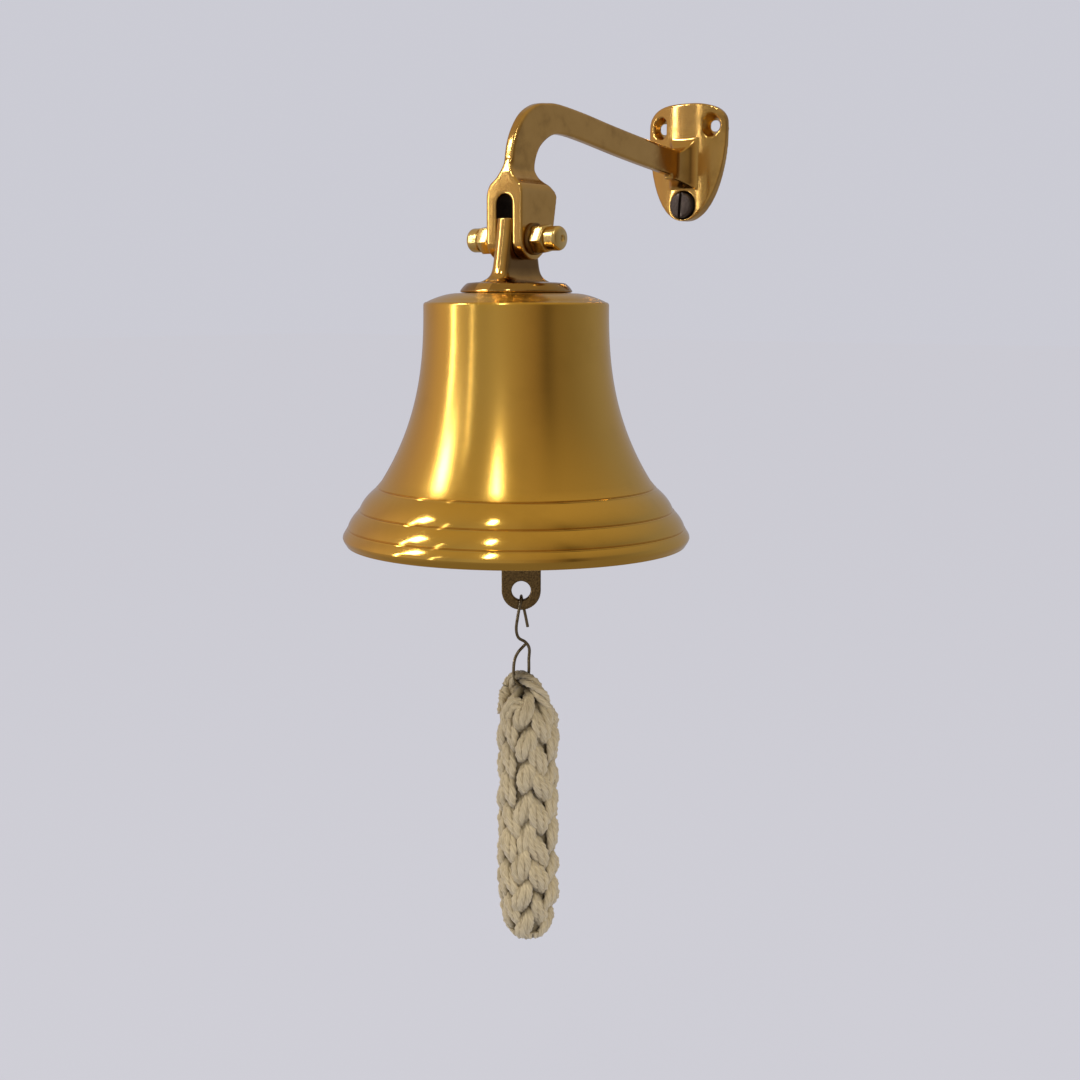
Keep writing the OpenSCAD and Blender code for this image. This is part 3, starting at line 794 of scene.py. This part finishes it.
def plaited_lanyard():
    """Ten columns of knobs round a core, an eye strand through the wire and a blunt foot."""
    eye_at = JOINTS["lanyard_swing"]
    middle = eye_at + SIDEWAYS * 3.5
    axis = Vector((middle.x, middle.y, 0))
    top, bottom = eye_at.z - 4.0, node_box("lanyard")[0].z + 2.6
    yarns = YarnMesh()

    core = [axis + UP * mix(top - 3, bottom + 3, i / 40) for i in range(41)]
    rings = []
    for p in core:
        r = PLAIT_R * plait_girth(p.z, top, bottom) - 0.4
        rings.append([(p + Vector((math.cos(a), math.sin(a), 0)) * r, -p.z)
                      for a in (math.tau * j / 24 for j in range(24))])
    yarns.add([ring[::-1] for ring in rings])

    number = 0
    for column in range(COLUMNS):
        around = math.tau * (column + 0.3) / COLUMNS
        lean = 0.34 if column % 2 else -0.24
        z = top - 7.5 - (KNOB_PITCH / 2 if column % 2 else 0) + uneven(column + 60, 2.2)
        while z > bottom + 3:
            number += 1
            add_knob(yarns, axis, top, bottom, around + uneven(number + 9, 0.09),
                     z + uneven(number, 1.5), lean + uneven(number + 21, 0.16), number)
            z -= KNOB_PITCH

    eye = [(-9, 4, -15), (-8.8, 6.2, -8), (-7, 7.4, -2), (-4, 6, 2.6), (0.1, 1, 5.3), (3.4, -4.4, 5),
           (8.4, -6.4, 0.4), (11.8, -5.4, -6.5), (13.6, -3, -14), (13.2, -1, -21)]
    lobe = [(-5, -3, -25), (-7.2, -5.2, -17), (-6.6, -6.4, -11), (-3.4, -7.4, -7.4), (0, -8, -9.6),
            (0.8, -8.4, -15), (0.4, -7, -22)]
    back = [(-6, 5, -16), (-4, 7.5, -6), (0.5, 5.5, -1.6), (5, 4.5, -1.8), (9.5, 5.5, -8), (10, 6.5, -16)]
    for bends, radius in ((eye, 1.75), (lobe, 1.9), (back, 2.0)):
        route = [in_clapper(*p, eye_at) for p in smooth_through(bends, 6)]
        add_bundle(yarns, route, radius, 1.9, 0.16)

    for n in range(3):
        out = SIDEWAYS * math.cos(math.pi * n / 3) + AWAY * math.sin(math.pi * n / 3)
        across = out.cross(UP)
        for lane in (-1, 0, 1):
            reach = 8.4 - 0.7 * abs(lane)
            route = [axis + out * reach * math.cos(a) + across * 3.3 * lane
                     + UP * (bottom + 5.6 - (4.4 + 0.6 * n) * math.sin(a) ** 0.35)
                     for a in (math.pi * (0.02 + 0.96 * i / 18) for i in range(19))]
            frames = frames_along(route, lambda p: axis + UP * (bottom + 8))
            yarns.add(yarn_tube(route, frames, YARN_R, LAY))

    lanyard = yarns.build("plaited_lanyard")
    # Height of each point above the plait's surface, which the cotton finish turns into painted shade where
    # yarns sink in.
    depth = lanyard.data.attributes.new("proud", "FLOAT", "POINT")
    for vertex, value in zip(lanyard.data.vertices, depth.data):
        p = vertex.co / MM
        from_axis = math.hypot(p.x - axis.x, p.y - axis.y)
        value.value = from_axis - PLAIT_R * plait_girth(p.z, top, bottom)
    return crease(tidy_surface(lanyard, 0.0005), 60)


# ---- finishes ----

def feed(tree, node, links):
    """Fills a node's inputs; a link is (input, value or socket)."""
    for label, source in links:
        if isinstance(source, bpy.types.NodeSocket):
            tree.links.new(source, node.inputs[label])
        else:
            node.inputs[label].default_value = source
    return node


def add(tree, kind, links=(), **settings):
    """A node with its settings and inputs."""
    node = tree.nodes.new("ShaderNode" + kind)
    for key, value in settings.items():
        setattr(node, key, value)
    return feed(tree, node, links)


def node_group(name, inputs, *outputs):
    """An empty shader group with a vector input and named number inputs and outputs."""
    group = bpy.data.node_groups.new(name, "ShaderNodeTree")
    group.interface.new_socket("Vector", in_out="INPUT", socket_type="NodeSocketVector")
    for label, value in inputs.items():
        socket = group.interface.new_socket(label, in_out="INPUT", socket_type="NodeSocketFloat")
        socket.default_value = value
    for label in outputs:
        group.interface.new_socket(label, in_out="OUTPUT", socket_type="NodeSocketFloat")
    return group, group.nodes.new("NodeGroupInput").outputs, group.nodes.new("NodeGroupOutput")


def math_node(tree, operation, *values):
    return add(tree, "Math", enumerate(values), operation=operation).outputs[0]


def times(tree, a, b):
    return math_node(tree, "MULTIPLY", a, b)


def plus(tree, a, b):
    return math_node(tree, "ADD", a, b)


def blend(tree, factor, a, b):
    """Mixes two colours by a mask."""
    return add(tree, "Mix", [(0, factor), (6, a), (7, b)], data_type="RGBA").outputs[2]


def span(tree, value, low, high, to_low=0.0, to_high=1.0):
    """Maps a range of values to another, clamped."""
    return add(tree, "MapRange", enumerate((value, low, high, to_low, to_high))).outputs[0]


def split(tree, vector):
    return add(tree, "SeparateXYZ", [(0, vector)]).outputs


def noise(tree, vector, scale, detail, **more):
    links = [("Vector", vector), ("Scale", scale), ("Detail", detail), *more.items()]
    return add(tree, "TexNoise", links).outputs[0]


def mapped(tree, vector, **moves):
    return add(tree, "Mapping", [("Vector", vector), *moves.items()]).outputs[0]


def make_turning_marks():
    """Fine lines left by turning and brushing round the Z axis of its vector."""
    group, given, out = node_group("turning_marks", {"Lines": 3000.0, "Streak": 30.0}, "Height", "Tint")
    x, y, z = split(group, given["Vector"])
    radius = math_node(group, "SQRT", plus(group, times(group, x, x), times(group, y, y)))
    down = math_node(group, "SUBTRACT", z, radius)

    def lines(scale, streak):
        spot = [times(group, x, streak), times(group, y, streak), times(group, down, scale)]
        return noise(group, add(group, "CombineXYZ", enumerate(spot)).outputs[0], 1.0, 3.0)

    fine = lines(given["Lines"], given["Streak"])
    broad = lines(times(group, given["Lines"], 0.16), times(group, given["Streak"], 0.4))
    feed(group, out, [("Height", fine), ("Tint", plus(group, broad, 0.5))])
    return group


def make_tarnish_and_shade():
    """Soft patches of tarnish, stronger in hollows, and worn bright on edges; in the hollows this is patina
    on brass and painted shade on the cotton.
    """
    group, given, out = node_group("tarnish_and_shade", {"Patch Size": 0.02, "Hollow": 1.0},
                                   "Tarnish And Shade", "Worn Edge", "Cloud")
    scale = math_node(group, "DIVIDE", 1.0, given["Patch Size"])
    cloud = noise(group, given["Vector"], scale, 5.0, Roughness=0.6)
    bent = add(group, "NewGeometry").outputs["Pointiness"]
    hollow = times(group, span(group, bent, 0.495, 0.44), given["Hollow"])
    patches = span(group, cloud, 0.52, 0.74)
    edge = times(group, span(group, bent, 0.515, 0.58), span(group, cloud, 0.3, 0.6))
    both = math_node(group, "MAXIMUM", hollow, times(group, patches, 0.45))
    feed(group, out, [("Tarnish And Shade", both), ("Worn Edge", edge), ("Cloud", cloud)])
    return group


def make_hand_scratches():
    """Hair scratches and polishing swirls in crossing directions."""
    group, given, out = node_group("hand_scratches", {"Size": 0.01}, "Height")
    scale = math_node(group, "DIVIDE", 1.0, given["Size"])
    heights = []
    for turn, stretch in (((0.3, 0.2, 0.4), (1.0, 14.0, 1.4)), ((1.1, 0.7, 2.0), (16.0, 1.0, 1.3))):
        spun = mapped(group, given["Vector"], Rotation=turn, Scale=stretch)
        heights.append(noise(group, spun, scale, 4.0, Distortion=0.4))
    feed(group, out, [("Height", times(group, *heights))])
    return group


GROUPS = {"turning_marks": make_turning_marks(), "tarnish_and_shade": make_tarnish_and_shade(),
          "hand_scratches": make_hand_scratches()}


def use(tree, group_name, **values):
    """Places a shared group in a material with its own values."""
    links = [(label.replace("_", " "), source) for label, source in values.items()]
    return add(tree, "Group", links, node_tree=GROUPS[group_name]).outputs


def new_finish(name, **constants):
    """A material with its own Principled shader; constants go straight on its sockets."""
    material = bpy.data.materials.new(name)
    material.use_nodes = True
    tree = material.node_tree
    shader = tree.nodes["Principled BSDF"]
    for key, value in constants.items():
        shader.inputs[key.replace("_", " ")].default_value = value
    return material, tree, shader


def object_place(tree, origin=(0, 0, 0), turn=(0, 0, 0)):
    """Object coordinates about a point given in millimetres, turned if asked."""
    spot = add(tree, "TexCoord").outputs["Object"]
    moved = mapped(tree, spot, Location=[-v * MM for v in origin])
    return mapped(tree, moved, Rotation=turn) if any(turn) else moved


def raise_surface(tree, shader, height, strength, distance):
    bump = add(tree, "Bump", [("Height", height), ("Strength", strength), ("Distance", distance)])
    feed(tree, shader, [("Normal", bump.outputs[0])])


def brushed_bell_brass():
    """Satin brass brushed round the bell, with brighter polished bands near the mouth."""
    material, tree, shader = new_finish("brushed_bell_brass", Metallic=1.0, Anisotropic=0.72,
                                        Anisotropic_Rotation=0.25)
    place_at = object_place(tree, BELL_AXIS)
    marks = use(tree, "turning_marks", Vector=place_at, Lines=2600.0, Streak=9.0)
    cloudy = use(tree, "tarnish_and_shade", Vector=place_at, Patch_Size=0.045, Hollow=0.5)
    height = split(tree, place_at)[2]
    ring_z = (RIM_Z + BELL_H * TOP_RING) * MM
    band = span(tree, height, ring_z - 0.0005, ring_z + 0.0012, 1.0, 0.0)
    tint = span(tree, marks["Tint"], 0.35, 0.66)
    tone = blend(tree, tint, (0.73, 0.45, 0.088, 1), (0.80, 0.508, 0.115, 1))
    tone = blend(tree, times(tree, cloudy["Tarnish And Shade"], 0.55), tone, (0.44, 0.27, 0.05, 1))
    satin = span(tree, marks["Height"], 0.3, 0.7, 0.20, 0.24)
    satin = plus(tree, satin, times(tree, cloudy["Cloud"], 0.05))
    polished = span(tree, marks["Height"], 0.3, 0.7, 0.09, 0.15)
    above = math_node(tree, "SUBTRACT", 1.0, band)
    rough = plus(tree, times(tree, satin, above), times(tree, polished, band))
    round_axis = add(tree, "Tangent", direction_type="RADIAL", axis="Z").outputs[0]
    feed(tree, shader, [("Base Color", tone), ("Roughness", rough), ("Tangent", round_axis)])
    raise_surface(tree, shader, marks["Height"], 0.016, 0.00005)
    return material


def cast_bell_inside():
    """The unpolished inside of the bell: turned once, darkened and faintly pitted."""
    material, tree, shader = new_finish("cast_bell_inside", Metallic=1.0)
    place_at = object_place(tree, BELL_AXIS)
    marks = use(tree, "turning_marks", Vector=place_at, Lines=900.0, Streak=16.0)
    cloudy = use(tree, "tarnish_and_shade", Vector=place_at, Patch_Size=0.012, Hollow=0.6)
    tone = blend(tree, marks["Tint"], (0.30, 0.19, 0.06, 1), (0.46, 0.30, 0.10, 1))
    tone = blend(tree, cloudy["Tarnish And Shade"], tone, (0.13, 0.085, 0.035, 1))
    rough = span(tree, cloudy["Cloud"], 0.3, 0.7, 0.36, 0.56)
    feed(tree, shader, [("Base Color", tone), ("Roughness", rough)])
    raise_surface(tree, shader, plus(tree, marks["Height"], cloudy["Cloud"]), 0.35, 0.0002)
    return material


def polished_cast_brass(name, shaded_sides=0.0):
    """Hand-polished casting: golden, slightly uneven, browner with patina in the hollows, and with painted
    shade on the hanger tongue's flat sides when asked.
    """
    material, tree, shader = new_finish(name, Metallic=1.0)
    place_at = object_place(tree)
    worn = use(tree, "tarnish_and_shade", Vector=place_at, Patch_Size=0.016, Hollow=1.0)
    scratches = use(tree, "hand_scratches", Vector=place_at, Size=0.004)
    tone = blend(tree, span(tree, worn["Cloud"], 0.35, 0.7), (0.68, 0.43, 0.14, 1), (0.60, 0.37, 0.115, 1))
    tone = blend(tree, times(tree, worn["Tarnish And Shade"], 0.8), tone, (0.20, 0.115, 0.04, 1))
    tone = blend(tree, worn["Worn Edge"], tone, (0.92, 0.68, 0.32, 1))
    # Painted shade: the tongue's flat sides go dark where the clevis legs shadow them, easing to about half
    # towards the foot.
    if shaded_sides:
        parts = split(tree, object_place(tree, PIVOT))
        sideways = span(tree, math_node(tree, "ABSOLUTE", parts[0]), 0.0040, 0.0048)
        below = span(tree, parts[2], -0.0185, -0.014, 0.55, 1.0)
        side_shade = times(tree, times(tree, sideways, below), shaded_sides)
        tone = blend(tree, side_shade, tone, (0.17, 0.10, 0.04, 1))
    rough = plus(tree, span(tree, worn["Cloud"], 0.3, 0.7, 0.09, 0.16), times(tree, worn["Tarnish And Shade"], 0.22))
    low = add(tree, "Bump", [("Height", noise(tree, place_at, 95.0, 1.0)), ("Strength", 0.07),
                             ("Distance", 0.0006)]).outputs[0]
    fine = add(tree, "Bump", [("Height", scratches["Height"]), ("Strength", 0.10), ("Distance", 0.0001),
                              ("Normal", low)]).outputs[0]
    feed(tree, shader, [("Base Color", tone), ("Roughness", rough), ("Normal", fine)])
    return material


def turned_light_brass(name, tones, rough, hollow):
    """Small turned or milled brass pieces on the pivot's line."""
    material, tree, shader = new_finish(name, Metallic=1.0)
    along_x = object_place(tree, PIVOT, (0, math.pi / 2, 0))
    marks = use(tree, "turning_marks", Vector=along_x, Lines=5200.0, Streak=60.0)
    worn = use(tree, "tarnish_and_shade", Vector=along_x, Patch_Size=0.006, Hollow=hollow)
    tone = blend(tree, marks["Tint"], tones[0], tones[1])
    tone = blend(tree, times(tree, worn["Tarnish And Shade"], 0.75), tone, tones[2])
    dullness = span(tree, worn["Cloud"], 0.3, 0.7, rough, rough + 0.13)
    feed(tree, shader, [("Base Color", tone), ("Roughness", dullness)])
    raise_surface(tree, shader, marks["Height"], 0.22, 0.00006)
    return material


def dark_metal(name, tones, rough, grain, metallic=1.0):
    """Dull, dark forged or browned metal, mottled and lightly pitted."""
    material, tree, shader = new_finish(name, Metallic=metallic)
    place_at = object_place(tree)
    worn = use(tree, "tarnish_and_shade", Vector=place_at, Patch_Size=grain * 4, Hollow=0.8)
    pits = noise(tree, place_at, 1 / grain, 6.0, Roughness=0.7)
    tone = blend(tree, span(tree, pits, 0.35, 0.68), tones[0], tones[1])
    tone = blend(tree, worn["Worn Edge"], tone, tones[2])
    dullness = span(tree, pits, 0.3, 0.7, rough + 0.12, rough - 0.08)
    feed(tree, shader, [("Base Color", tone), ("Roughness", dullness)])
    raise_surface(tree, shader, pits, 0.5, grain * 0.12)
    return material


def natural_cotton():
    """Unbleached cotton yarn: fibres that wind round each yarn, with dusty patches and painted shade
    between the knobs and where yarns sink into the plait.
    """
    material, tree, shader = new_finish("natural_cotton", Metallic=0.0, Sheen_Weight=0.35,
                                        Sheen_Roughness=0.5)
    parts = split(tree, add(tree, "UVMap", uv_map="yarn").outputs[0])
    lay = plus(tree, times(tree, parts[0], 3.0), times(tree, parts[1], -900.0 / math.tau))
    along = times(tree, parts[1], 120.0)
    fibre_spot = add(tree, "CombineXYZ", [(0, times(tree, lay, 5.0)), (1, along)]).outputs[0]
    fibres = noise(tree, fibre_spot, 1.0, 4.0, Roughness=0.65)
    place_at = object_place(tree)
    cloudy = use(tree, "tarnish_and_shade", Vector=place_at, Patch_Size=0.012, Hollow=1.0)
    fuzz = noise(tree, place_at, 1500.0, 4.0)
    tone = blend(tree, span(tree, fibres, 0.32, 0.68), (0.43, 0.36, 0.225, 1), (0.74, 0.645, 0.45, 1))
    # Painted shade in the hollows between the yarns, with dusty patches.
    tone = blend(tree, times(tree, cloudy["Tarnish And Shade"], 0.6), tone, (0.24, 0.195, 0.125, 1))
    # Painted shade where the yarns sink below the plait's surface.
    proud = add(tree, "Attribute", attribute_name="proud").outputs["Fac"]
    tone = blend(tree, span(tree, proud, 2.4, -0.8), tone, (0.17, 0.135, 0.075, 1))
    rough = span(tree, fuzz, 0.3, 0.7, 0.82, 0.98)
    feed(tree, shader, [("Base Color", tone), ("Roughness", rough)])
    raise_surface(tree, shader, plus(tree, fibres, times(tree, fuzz, 0.45)), 0.75, 0.0004)
    return material


BELL_BRASS = brushed_bell_brass()
BELL_INSIDE = cast_bell_inside()
CAST_BRASS = polished_cast_brass("polished_cast_brass")
# The hanger's finish paints shade on its tongue's flat sides.
HANGER_BRASS = polished_cast_brass("hanger_brass", 0.9)
LIGHT_BRASS = turned_light_brass("turned_light_brass", ((0.90, 0.72, 0.34, 1), (0.80, 0.60, 0.25, 1),
                                                        (0.40, 0.26, 0.10, 1)), 0.12, 1.0)
DARK_BRASS = turned_light_brass("dulled_brass", ((0.33, 0.22, 0.09, 1), (0.24, 0.15, 0.06, 1),
                                                 (0.10, 0.06, 0.03, 1)), 0.36, 1.0)
DARK_BRONZE = dark_metal("dark_bronze", ((0.11, 0.08, 0.045, 1), (0.37, 0.27, 0.14, 1),
                                         (0.46, 0.33, 0.17, 1)), 0.38, 0.0008)
BROWNED_STEEL = dark_metal("browned_steel", ((0.05, 0.04, 0.038, 1), (0.10, 0.082, 0.08, 1),
                                             (0.2, 0.17, 0.16, 1)), 0.42, 0.0007, 0.85)
DARK_WIRE = dark_metal("dull_dark_wire", ((0.12, 0.10, 0.065, 1), (0.30, 0.25, 0.15, 1),
                                          (0.4, 0.37, 0.31, 1)), 0.32, 0.0005)
# Rough casting, nearly black: painted shade for the bracket's slot walls and screw holes.
UNPOLISHED_IN_SHADE = dark_metal("unpolished_casting_in_shade", ((0.035, 0.024, 0.014, 1), (0.075, 0.05, 0.028, 1),
                                               (0.12, 0.08, 0.045, 1)), 0.55, 0.0006)
COTTON = natural_cotton()


# ---- assembly ----

def place(piece, body, slot, finish, *nodes):
    """Rides a finished piece on its body, in its finish, in place of its CAD nodes; the slot argument is
    not used.
    """
    piece.data.materials.clear()
    for material in finish if isinstance(finish, tuple) else (finish,):
        piece.data.materials.append(material)
    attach(piece, body)
    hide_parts(*nodes)
    return piece


def second_finish(piece, wanted):
    """Gives the faces that pass the test the second of the piece's two finishes."""
    for face in piece.data.polygons:
        if wanted(face):
            face.material_index = 1


def faces_inwards(face):
    """Whether a face of the bell looks at its axis, or down from under its roof."""
    out = Vector((face.center.x, face.center.y, 0)) - BELL_AXIS * MM
    under_roof = face.normal.z < -0.8 and out.length < 0.044
    return under_roof or face.normal.dot(out) < -0.0001


def rough_and_shaded(face):
    """Whether a face of the bracket lies where no polishing wheel reaches: the slot walls and screw holes,
    whose near-black finish is painted shade.
    """
    return in_slot(face.center / MM) or in_screw_hole(face.center / MM)


bell = place(turned_bell(), "bell", "brushed_brass", (BELL_BRASS, BELL_INSIDE), "bell_shell")
second_finish(bell, faces_inwards)
bracket = place(bracket_casting(), "bracket", "polished_brass", (CAST_BRASS, UNPOLISHED_IN_SHADE),
                "wall_bracket")
# The slot walls and screw holes take the near-black finish as painted shade.
second_finish(bracket, rough_and_shaded)
place(hanger_casting(), "bell", "polished_brass", HANGER_BRASS, "crown_hanger")
for side, word in ((-1, "left"), (1, "right")):
    place(seat_washer(side, word), "bracket", "dark_brass", DARK_BRASS, "washer_" + word)
    place(acorn_nut(side, word), "bracket", "light_brass", LIGHT_BRASS, "dome_nut_" + word)
place(slotted_screw(), "bracket", "browned_steel", BROWNED_STEEL, "wall_screw")
place(ring_bolt(), "bell", "dark_brass", DARK_BRASS, "eye_bolt")
place(forged_clapper(), "clapper", "dark_bronze", DARK_BRONZE, "clapper")
place(wire_hook(), "hook", "dark_wire", DARK_WIRE, "s_hook")
place(plaited_lanyard(), "lanyard", "cotton_rope", COTTON, "lanyard")
for node_name, finish in (("pivot_stud", LIGHT_BRASS), ("crown_washer", DARK_BRASS),
                          ("crown_nut", LIGHT_BRASS)):
    node = frame["nodes"][node_name]
    node.data.materials.clear()
    node.data.materials.append(finish)


# ---- floor, backdrop and light ----

BACKDROP = (0.60, 0.60, 0.66, 1)
ROOM_BY_BEARING = (
    (-180, (0.36, 0.35, 0.40)), (-110, (0.31, 0.29, 0.30)), (-70, (0.235, 0.20, 0.16)),
    (-52, (0.22, 0.175, 0.125)), (-38, (0.12, 0.09, 0.06)), (-24, (0.27, 0.20, 0.13)),
    (0, (0.38, 0.31, 0.22)), (25, (0.43, 0.38, 0.31)), (45, (0.36, 0.32, 0.27)),
    (62, (0.46, 0.40, 0.35)), (100, (0.60, 0.46, 0.36)), (125, (0.44, 0.34, 0.33)),
    (180, (0.36, 0.35, 0.40)))


def studio_floor():
    """A plain pale floor well below the bell, as bright as the backdrop."""
    put_tools_down()
    bpy.ops.mesh.primitive_plane_add(size=40, location=(0, 0, -0.66))
    floor = name_it(bpy.context.object, "studio_floor")
    pale, tree, shader = new_finish("pale_floor", Base_Color=(0.06, 0.06, 0.065, 1), Roughness=1.0,
                                    Specular_IOR_Level=0.0, Emission_Strength=1.0,
                                    Emission_Color=(0.575, 0.575, 0.635, 1))
    floor.data.materials.append(pale)
    floor.visible_glossy = False


def soft_light(name, bearing, height, distance, width, tall, watts, colour=(1.0, 0.95, 0.84)):
    """A soft box facing the bell; the bearing is in degrees, to the left of the front view."""
    data = bpy.data.lights.new(name, "AREA")
    data.shape = "RECTANGLE"
    data.size, data.size_y = width, tall
    data.energy, data.color = watts, colour
    lamp = bpy.data.objects.new(name, data)
    bpy.context.scene.collection.objects.link(lamp)
    turn = math.radians(VIEW_TURN - bearing)
    spot = BELL_AXIS * MM + Vector((math.sin(turn), -math.cos(turn), 0)) * distance + UP * height
    aim = BELL_AXIS * MM + UP * -0.15
    lamp.matrix_world = Matrix.LocRotScale(spot, (spot - aim).to_track_quat("Z", "Y"), None)
    lamp.visible_camera = False
    return lamp


def studio_world():
    """A pale backdrop for the eye, and a dim room, told by bearing, for the brass to mirror."""
    world = bpy.data.worlds.new("studio")
    bpy.context.scene.world = world
    world.use_nodes = True
    tree = world.node_tree
    spot = add(tree, "TexCoord").outputs["Generated"]
    parts = split(tree, mapped(tree, spot, Rotation=(0, 0, math.radians(90 - VIEW_TURN))))
    bearing = math_node(tree, "ARCTAN2", times(tree, parts[1], -1.0), parts[0])
    walls = add(tree, "ValToRGB", [(0, span(tree, bearing, -math.pi, math.pi))])
    stops = walls.color_ramp.elements
    while len(stops) < len(ROOM_BY_BEARING):
        stops.new(0.5)
    for stop, (degrees, tone) in zip(stops, ROOM_BY_BEARING):
        stop.position = (degrees + 180) / 360
        stop.color = (*tone, 1)
    room = blend(tree, span(tree, parts[2], 0.35, 0.95), walls.outputs[0], (0.46, 0.36, 0.20, 1))
    room = blend(tree, span(tree, parts[2], -0.1, -0.8), room, (0.24, 0.20, 0.15, 1))
    seen = add(tree, "LightPath").outputs["Is Camera Ray"]
    feed(tree, tree.nodes["Background"], [(0, blend(tree, seen, room, BACKDROP))])


bpy.context.scene.view_settings.view_transform = "Standard"
studio_world()
studio_floor()
soft_light("left_window", 81, 0.25, 1.6, 0.06, 1.7, 4.4)
soft_light("thin_window", 54, 0.3, 1.6, 0.03, 1.1, 0.7)
soft_light("high_window", 78, 0.85, 1.45, 0.22, 0.42, 5, (1.0, 0.95, 0.86))
soft_light("high_lamp", 21, 1.05, 1.0, 0.10, 0.36, 3.2)
for fill in (soft_light("right_fill", -40, 0.7, 2.0, 1.4, 1.2, 16, (1.0, 0.95, 0.86)),
             soft_light("overhead", 20, 2.2, 0.8, 1.5, 1.0, 14, (1.0, 0.97, 0.90))):
    fill.visible_glossy = False
